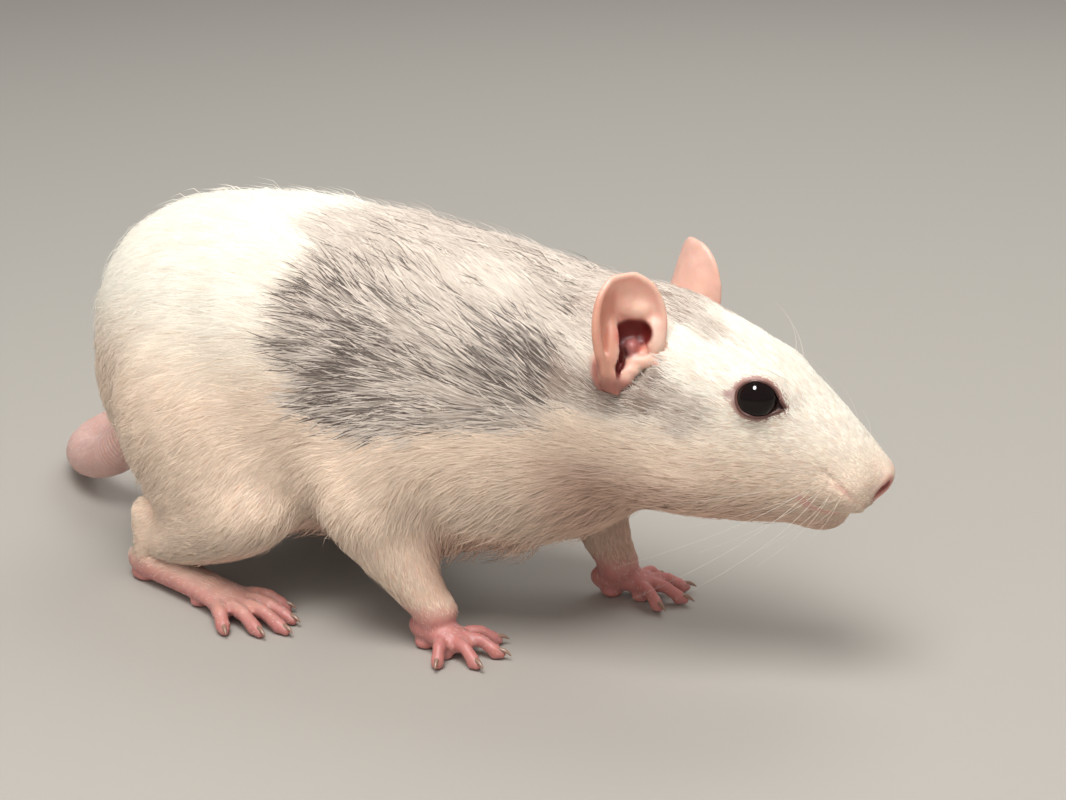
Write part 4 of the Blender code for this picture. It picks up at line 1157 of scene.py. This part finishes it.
def worldGuides():
    places, ways, lengths, lifts = [], [], [], []
    for frameOf, guides in ((ratToWorld, bodyGuides), (headToWorld, headGuides)):
        turned = frameOf.to_3x3()
        for place, way, length, lift in guides:
            for out in ((-1, 1) if place[1] else (1,)):
                places.append(inWorld(frameOf, sided(place, out))[:])
                ways.append((turned @ sided(way, out)).normalized()[:])
                lengths.append(length)
                lifts.append(lift)
    return np.array(places), np.array(ways), np.array(lengths), np.array(lifts)


guidePlaces, guideWays, guideLengths, guideLifts = worldGuides()


def lieOfCoat(points):
    # direction, length in metres and lift in radians of the hair that grows at each point
    ways, lengths, lifts = [], [], []
    for some in np.array_split(points, max(1, len(points) // 20000)):
        gap = np.sum((some[:, None, :] - guidePlaces[None]) ** 2, axis=2) + (1.5 * mm) ** 2
        weight = gap ** -2.0
        weight /= weight.sum(axis=1)[:, None]
        ways.append(weight @ guideWays)
        lengths.append(weight @ guideLengths)
        lifts.append(weight @ guideLifts)
    return np.vstack(ways), np.concatenate(lengths) * mm, np.radians(np.concatenate(lifts))


def unit(vectors):
    return vectors / np.maximum(sizeOf(vectors), 1e-12)[:, None]


def scatter(densityAt):
    # roots spread over the skin, as many in each place as the density there asks for
    corners = trianglesOf(skin)
    a, b, c = (skinPoints[corners[:, k]] for k in range(3))
    area = sizeOf(np.cross(b - a, c - a)) / 2 / mm**2
    share = np.cumsum(area * densityAt((a + b + c) / 3))
    count = int(share[-1] * (1.0))
    picks = np.searchsorted(share, (np.arange(count) + draw.random(count)) * share[-1] / count)
    picks = np.minimum(picks, len(corners) - 1)
    u, v = draw.random(count), draw.random(count)
    over = u + v > 1
    u[over], v[over] = 1 - u[over], 1 - v[over]
    shares = (1 - u - v, u, v)
    ups = [skinNormals[corners[picks, k]] for k in range(3)]
    return weighed((a[picks], b[picks], c[picks]), shares), unit(weighed(ups, shares))


def regionOf(points):
    # 0 body, 1 head, 2 legs, 3 bare skin with only fine hairs
    rat, inHead = inBoth(points)
    region = np.zeros(len(points), int)
    region[inHead[:, 0] > -9] = 1
    for leg in legs.values():
        near = toPath(rat, leg[1:])
        region[(near < 9.0) & (rat[:, 2] < 22) & (inHead[:, 0] < -20)] = 2
    region[bareness(points) > coat["bareFrom"]] = 3
    return region


def coatDensity(points):
    bare, region = bareness(points), regionOf(points)
    rat, inHead = inBoth(points)
    snout = smoothStep(20, 36, inHead[:, 0]) * (region == 1)
    furred = np.array(coat["density"])[region] * (1 + coat["snoutDensity"] * snout) * (1 - 0.5 * bare)
    fine = np.where((rat[:, 2] < 12) | (rat[:, 0] < -60), coat["density"][3], 0.0)
    return np.where(bare > coat["bareFrom"], fine, furred) * (rat[:, 2] >= 1.0)


def ontoSkin(points):
    found = [skinTree.find_nearest(p) for p in points.tolist()]
    return np.array([f[0][:] for f in found]), np.array([f[1][:] for f in found])


def streaks(roots, ways):
    # long narrow patches along the lie of the coat, each with a value of its own
    values = np.empty(len(roots))
    seeds = draw.choice(len(roots), min(900, len(roots)), replace=False)
    seedValues = draw.random(len(seeds))
    for some in np.array_split(np.arange(len(roots)), max(1, len(roots) // 4000)):
        apart = roots[some, None, :] - roots[None, seeds]
        along = np.einsum("ijk,jk->ij", apart, ways[seeds])
        gap = np.sum(apart**2, axis=2) - along**2 * (1 - 1 / 30)
        values[some] = seedValues[np.argmin(gap, axis=1)]
    return values


class Tufts:
    # every tuft of the coat as rows of numbers: where it grows, how it runs and its colours
    def __init__(self):
        self.roots, self.ups = scatter(coatDensity)
        count = len(self.roots)
        print("coat: tufts", count)
        self.region = regionOf(self.roots)
        self.under = draw.random(count) < coat["underShare"]
        low = measuredIn(ratToWorld, self.roots)
        # 1 low on the chest and belly, where loose hairs hang
        self.hang = smoothStep(27, 17, low[:, 2]) * smoothStep(-50, -35, low[:, 0]) * (self.region == 0)
        self.stray = (draw.random(count) < coat["strayShare"] + coat["fringe"] * self.hang) & ~self.under
        self.width = np.array(coat["width"])[self.region] * mm * draw.uniform(0.7, 1.3, count)
        self.width[self.under] *= coat["underWidth"]
        self.width *= 1.0
        self.width[self.stray] *= coat["strayWidth"]
        self.run()
        self.tint()

    def run(self):
        count = len(self.roots)
        ways, lengths, lifts = lieOfCoat(self.roots)
        clumps = self.clumpsOf()
        drift = draw.normal(0, 1, (clumps.max() + 1, 3))[clumps]
        ways = unit(ways) + drift * 0.10 + draw.normal(0, 0.11, (count, 3))
        tiny = self.region == 3
        shorter = 1 - 0.9 * np.minimum(bareness(self.roots), 0.5)
        shorter *= 0.55 + 0.45 * smoothStep(0.3, 3.0, aroundEye(foldedIn(headToWorld, self.roots))[0])
        lengths = np.where(tiny, coat["bareLength"] * mm, lengths * shorter) * draw.uniform(0.78, 1.18, count)
        strayLengths = lengths * (coat["strayLength"] + 0.1 * self.hang)
        strayLifts = lifts * coat["strayLift"] + 0.22 * self.hang
        lengths = np.where(self.under, lengths * coat["underLength"],
                           np.where(self.stray, strayLengths, lengths))
        lifts = np.where(self.under, lifts * coat["underLift"], np.where(self.stray, strayLifts, lifts))
        lifts = lifts * np.exp(draw.normal(0, 0.16, count)) * np.where(self.region == 0, 1.0, 0.75)
        lengths *= 1 + 0.06 * drift[:, 0]
        self.clumpTone = np.clip(drift[:, 2], -2, 2)
        self.ways = unit(ways - self.ups * np.sum(ways * self.ups, axis=1)[:, None])
        stations = (0.55, 1.0)
        places, normals = [self.roots - self.ups * 0.12 * mm], [self.ups]
        bend = draw.normal(0, 0.06, count)
        across = np.cross(self.ups, self.ways)
        for share in stations:
            reach = self.roots + (self.ways * share + across * (bend * share**2)[:, None]) * lengths[:, None]
            spot, up = ontoSkin(reach)
            height = lengths * np.sin(lifts) * (1.6 * share - 0.9 * share**2)
            up = unit(up + normals[-1])
            places.append(spot + up * height[:, None])
            normals.append(up)
        pull = coat["clumpPull"] * (~self.stray)
        first = self.clumpHeads[clumps]
        for k, share in enumerate(stations, 1):
            toHead = (places[k][first] - self.roots[first]) - (places[k] - self.roots)
            apart = self.roots[first] - self.roots
            near = sizeOf(apart) < coat["clumpReach"] * mm
            places[k] = places[k] + (toHead * 0.5 + apart * 0.6) * (pull * near * share**2)[:, None]
        self.places, self.normals = places, normals

    def clumpsOf(self):
        count = len(self.roots)
        self.clumpHeads = draw.choice(count, count // coat["clumpEvery"], replace=False)
        tree = treeOf(self.roots[self.clumpHeads])
        return np.array([tree.find(p)[1] for p in self.roots])

    def tint(self):
        count = len(self.roots)
        dark, pale = darkShare(self.roots), paleToneAndPaintedShade(self.roots)
        onHead = self.region == 1
        value = np.ones(count)
        rows = np.nonzero(dark > 0.02)[0]
        value[rows] = streaks(self.roots[rows], self.ways[rows])
        level = 0.35 * value + 0.65 * draw.random(count)
        isDark = smoothStep(0.14, -0.14, level - dark * 0.8)
        light = mixed(markings["light"], markings["grey"], np.clip(draw.normal(0.28, 0.22, count), 0, 1))
        darkest = mixed(markings["dark"], markings["smudge"], onHead * 1.0)
        tone = mixed(pale, mixed(light, darkest, isDark), smoothStep(0.0, 0.25, dark))
        tone *= np.exp(draw.normal(0, 0.05, count) + 0.06 * self.clumpTone)[:, None]
        # tips a little lighter and roots darker than the middle: painted shade deep in the coat; in the hood
        # the roots are grey as well
        tip = tone * 1.05
        grizzled = np.clip(dark * 1.6, 0, 1)
        root = mixed(pale * (0.94, 0.90, 0.86), np.array(markings["grey"]) * 0.65,
                     grizzled * np.where(onHead, 0.6, 1.0))
        # the shorter under layer is darker: painted shade beneath the top hairs, more in the hood
        tone[self.under] *= mixed((0.93, 0.90, 0.87), (0.68, 0.65, 0.63), grizzled)[self.under]
        blush = smoothStep(0.1, 0.6, footShare(self.roots)) * 0.55
        self.tones = [mixed(part, skinTones["foot"], blush) for part in (root, tone, tip)]
        for part in self.tones:
            part[self.region == 3] = (0.82, 0.72, 0.66)
        self.tones[-1] = np.clip(self.tones[-1], 0, 0.95)


def coarseUnwrap():
    # an unwrap of the skin's own shape, on a coarse copy
    coarse = copied(skin)
    ratio = skinMesh["unwrapFaces"] / len(skin.data.polygons)
    modify(coarse, "DECIMATE", ratio=ratio, use_collapse_triangulate=True)
    bpy.ops.object.mode_set(mode="EDIT")
    bpy.ops.mesh.select_all(action="SELECT")
    bpy.ops.uv.smart_project(angle_limit=math.radians(66), island_margin=0.004)
    bpy.ops.object.mode_set(mode="OBJECT")
    corners, loops = trianglesOf(coarse), trianglesOf(coarse, "loops")
    flat = np.empty(len(coarse.data.loops) * 2, np.float32)
    coarse.data.uv_layers.active.data.foreach_get("uv", flat)
    flat = flat.reshape(-1, 2)[loops]
    points = getVerts(coarse)
    tree = BVHTree.FromPolygons(points.tolist(), corners.tolist())
    bpy.data.objects.remove(coarse)
    return tree, points[corners], flat


def placeOnUnwrap(points):
    tree, shapes, flat = coarseUnwrap()
    found = [tree.find_nearest(p) for p in points.tolist()]
    which = np.array([f[2] for f in found])
    spot = np.array([f[0][:] for f in found])
    a, b, c = (shapes[which, k] for k in range(3))
    whole = sizeOf(np.cross(b - a, c - a))
    u = sizeOf(np.cross(c - b, spot - b)) / whole
    v = sizeOf(np.cross(a - c, spot - c)) / whole
    return weighed([flat[which, k] for k in range(3)], (u, v, np.clip(1 - u - v, 0, 1)))


def meshOfTufts(name, tufts, rows, material, uv):
    # closed three-sided spikes: two rings of three points, then one point at the tip
    count, per = len(rows), 7
    widths = (0.8, 1.0)
    blend = coat["normalBlend"]
    places = [place[rows] for place in tufts.places]
    points = np.empty((count, per, 3))
    normals = np.empty((count, per, 3))
    colours = np.empty((count, per, 3))
    spots = np.zeros((count, per, 2))
    width = tufts.width[rows]
    for ring in range(2):
        along = unit(places[ring + 1] - places[max(ring - 1, 0)])
        up = tufts.normals[ring][rows]
        across = unit(np.cross(up, along))
        up = unit(np.cross(along, across))
        for k in range(3):
            a = math.pi / 2 + 2 * math.pi * k / 3
            out = across * math.cos(a) + up * math.sin(a) * 0.7
            at = ring * 3 + k
            points[:, at] = places[ring] + out * (width * 0.5 * widths[ring])[:, None]
            normals[:, at] = unit(unit(out) * (1 - blend) + tufts.ups[rows] * blend)
            colours[:, at] = tufts.tones[ring][rows]
            spots[:, at] = ((k - 1) * 0.33, ring / 2 - 0.5)
    points[:, -1] = places[-1]
    normals[:, -1] = unit(tufts.ups[rows] + unit(places[-1] - places[-2]) * 0.4)
    colours[:, -1] = tufts.tones[2][rows]
    spots[:, -1] = (0.0, 0.5)
    faces = [(0, 2, 1)]
    for k in range(3):
        after = (k + 1) % 3
        faces += [(k, after, after + 3), (k, after + 3, k + 3), (k + 3, after + 3, 6)]
    faces = np.array(faces)
    corners = (np.arange(count)[:, None, None] * per + faces[None]).reshape(-1, 3)
    mesh = bpy.data.meshes.new(name)
    mesh.vertices.add(count * per)
    mesh.vertices.foreach_set("co", points.astype(np.float32).ravel())
    mesh.loops.add(len(corners) * 3)
    mesh.loops.foreach_set("vertex_index", corners.astype(np.int32).ravel())
    mesh.polygons.add(len(corners))
    mesh.polygons.foreach_set("loop_start", np.arange(0, len(corners) * 3, 3, dtype=np.int32))
    mesh.update(calc_edges=True)
    flat = (uv[rows][:, None, :] + spots * coat["patch"]).reshape(-1, 2)
    layer = mesh.uv_layers.new(name="OFBake")
    layer.data.foreach_set("uv", flat[corners.ravel()].astype(np.float32).ravel())
    obj = placed(name, mesh)
    paint(obj, "coatTone", colours.reshape(-1, 3))
    mesh.shade_smooth()
    mesh.normals_split_custom_set_from_vertices(normals.reshape(-1, 3).tolist())
    wear(obj, material)
    obj.visible_shadow = False  # short hair lets light through to the hair beneath
    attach(obj, "root")
    print("coat:", name, len(corners), "triangles")
    return obj


def makeCoat():
    tufts = Tufts()
    uv = placeOnUnwrap(tufts.roots)
    material = newMaterial("coat", lambda s: s.attribute("coatTone"), 0.55, **{"Specular IOR Level": 0.35})[0]
    rat, inHead = inBoth(tufts.roots)
    body, onHead, right = tufts.region == 0, tufts.region == 1, rat[:, 1] < 0
    rump, shoulder = rat[:, 0] < -50, rat[:, 0] >= -18
    groups = {
        "coat_rump": body & rump,
        "coat_saddle_right": body & ~rump & ~shoulder & right,
        "coat_saddle_left": body & ~rump & ~shoulder & ~right,
        "coat_shoulder_right": body & shoulder & right,
        "coat_shoulder_left": body & shoulder & ~right,
        "coat_head_right": onHead & (inHead[:, 1] < 0),
        "coat_head_left": onHead & (inHead[:, 1] >= 0),
        "coat_legs": tufts.region == 2,
        "coat_fine": tufts.region == 3,
    }
    total = 0
    for name, chosen in groups.items():
        rows = np.nonzero(chosen)[0]
        parts = max(1, math.ceil(len(rows) / coat["pieceTufts"]))
        order = rows[np.argsort(rat[rows, 0])]
        for number, some in enumerate(np.array_split(order, parts)):
            made = meshOfTufts(name + (f"_{number + 1}" if parts > 1 else ""), tufts, some, material, uv)
            "hooded_coat" if "shoulder" in name else "cream_coat"
            total += len(some) * 10
    print("coat: triangles in all", total)


makeCoat()


# Whiskers: roots on the pad and the brow of one side. Those on the pad get shorter towards the nose.

whiskers = {
    "roots": [(30.0 + 1.45 * column - 0.3 * row, 7.9 - 0.62 * column, -6.0 - 1.15 * row)
              for row in range(4) for column in range(4)],
    "brow": [(21.5, 6.6, 5.6), (20.2, 7.0, 6.0), (14.0, 12.6, -6.5)],
    "thick": 0.032, "steps": 12, "long": 31.0, "shorterBy": 6.2, "browLong": (9, 12),
}


def makeWhiskers():
    pieces = []
    places = whiskers["roots"] + whiskers["brow"]
    for out in sides.values():
        for number, place in enumerate(places):
            row, column = divmod(number, 4)
            brow = number >= len(whiskers["roots"])
            if brow:
                long = draw.uniform(*whiskers["browLong"])
            else:
                long = whiskers["long"] - whiskers["shorterBy"] * column + draw.uniform(-2, 2)
            rise = 0.5 if brow else 0.30 - 0.26 * row + draw.uniform(-0.06, 0.06)
            way = Vector((-0.35 + 0.16 * column, 1.0, rise)).normalized()
            root = Vector(place) - way * 0.8
            back = Vector((-1.0, 0.0, -0.25)) * long * 0.34
            points, radii = [], []
            for k in range(whiskers["steps"] + 1):
                share = k / whiskers["steps"]
                points.append(sided(root + way * long * share + back * share**2, out))
                radii.append(whiskers["thick"] * (1 - 0.85 * share))
            pieces.append(sweep("whisker", headToWorld, points, radii, smooth=1))
    made = join("whiskers", pieces)
    made.data.shade_smooth()
    wear(made, newMaterial("whisker", (0.74, 0.68, 0.60), 0.4)[0])
    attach(made, "root")
    return made


makeWhiskers()


# Floor, light and camera

stage = {"floor": (0.42, 0.40, 0.37), "world": (0.92, 0.90, 0.87), "worldStrength": 0.36}
view = {"target": (0.0, 6.6, 35.2), "azimuth": 35.0, "elevation": 18.0, "distance": 363.0, "lens": 77.0}
lamps = {
    "key": {"azimuth": 24.0, "elevation": 68.0, "distance": 0.75, "size": 0.42, "power": 5.3,
            "colour": (1, 0.975, 0.93)},
    "fill": {"azimuth": 20.0, "elevation": 32.0, "distance": 1.0, "size": 0.8, "power": 2.15,
             "colour": (1, 0.97, 0.93)},
    "rim": {"azimuth": 190.0, "elevation": 50.0, "distance": 0.8, "size": 0.5, "power": 2.0,
            "colour": (1, 0.98, 0.95)},
    # only a tall bright spot in the eyes and on wet skin
    "glint": {"azimuth": 24.0, "elevation": 68.0, "distance": 0.6, "size": 0.15, "power": 6.5,
              "colour": (1, 1, 1)},
}


def outwards(azimuth, elevation):
    a, e = math.radians(azimuth), math.radians(elevation)
    return Vector((math.sin(a) * math.cos(e), -math.cos(a) * math.cos(e), math.sin(e)))


def makeStage():
    bpy.ops.mesh.primitive_plane_add(size=6.0, location=(0, 0, -0.00002))
    floor = bpy.context.object
    floor.name = "floor"
    wear(floor, newMaterial("floor", stage["floor"], 0.7)[0])
    world = bpy.data.worlds.new("world")
    world.use_nodes = True
    glow = world.node_tree.nodes["Background"].inputs
    glow["Color"].default_value = (*stage["world"], 1.0)
    glow["Strength"].default_value = stage["worldStrength"]
    bpy.context.scene.world = world
    middle = inWorld(ratToWorld, (0.0, 0.0, 35.0))
    for name, lamp in lamps.items():
        light = bpy.data.lights.new(name, "AREA")
        light.size = lamp["size"]
        light.energy = lamp["power"]
        light.color = lamp["colour"]
        obj = placed(name, light)
        obj.visible_glossy = name == "glint"
        if name == "glint":
            light.shape = "ELLIPSE"
            light.size_y = lamp["size"] * 1.5
            obj.visible_diffuse = False
        out = outwards(lamp["azimuth"], lamp["elevation"])
        obj.location = middle + out * lamp["distance"]
        obj.rotation_euler = out.to_track_quat("Z", "Y").to_euler()


def makeCamera():
    lens = bpy.data.cameras.new("camera")
    lens.lens = view["lens"]
    lens.sensor_width = 36.0
    lens.clip_start = 0.01
    camera = placed("camera", lens)
    out = outwards(view["azimuth"], view["elevation"])
    camera.location = inWorld(ratToWorld, view["target"]) + out * view["distance"] * mm
    camera.rotation_euler = out.to_track_quat("Z", "Y").to_euler()
    bpy.context.scene.camera = camera
    bpy.context.scene.view_settings.view_transform = "Standard"


makeStage()
makeCamera()
print("all pieces are made")
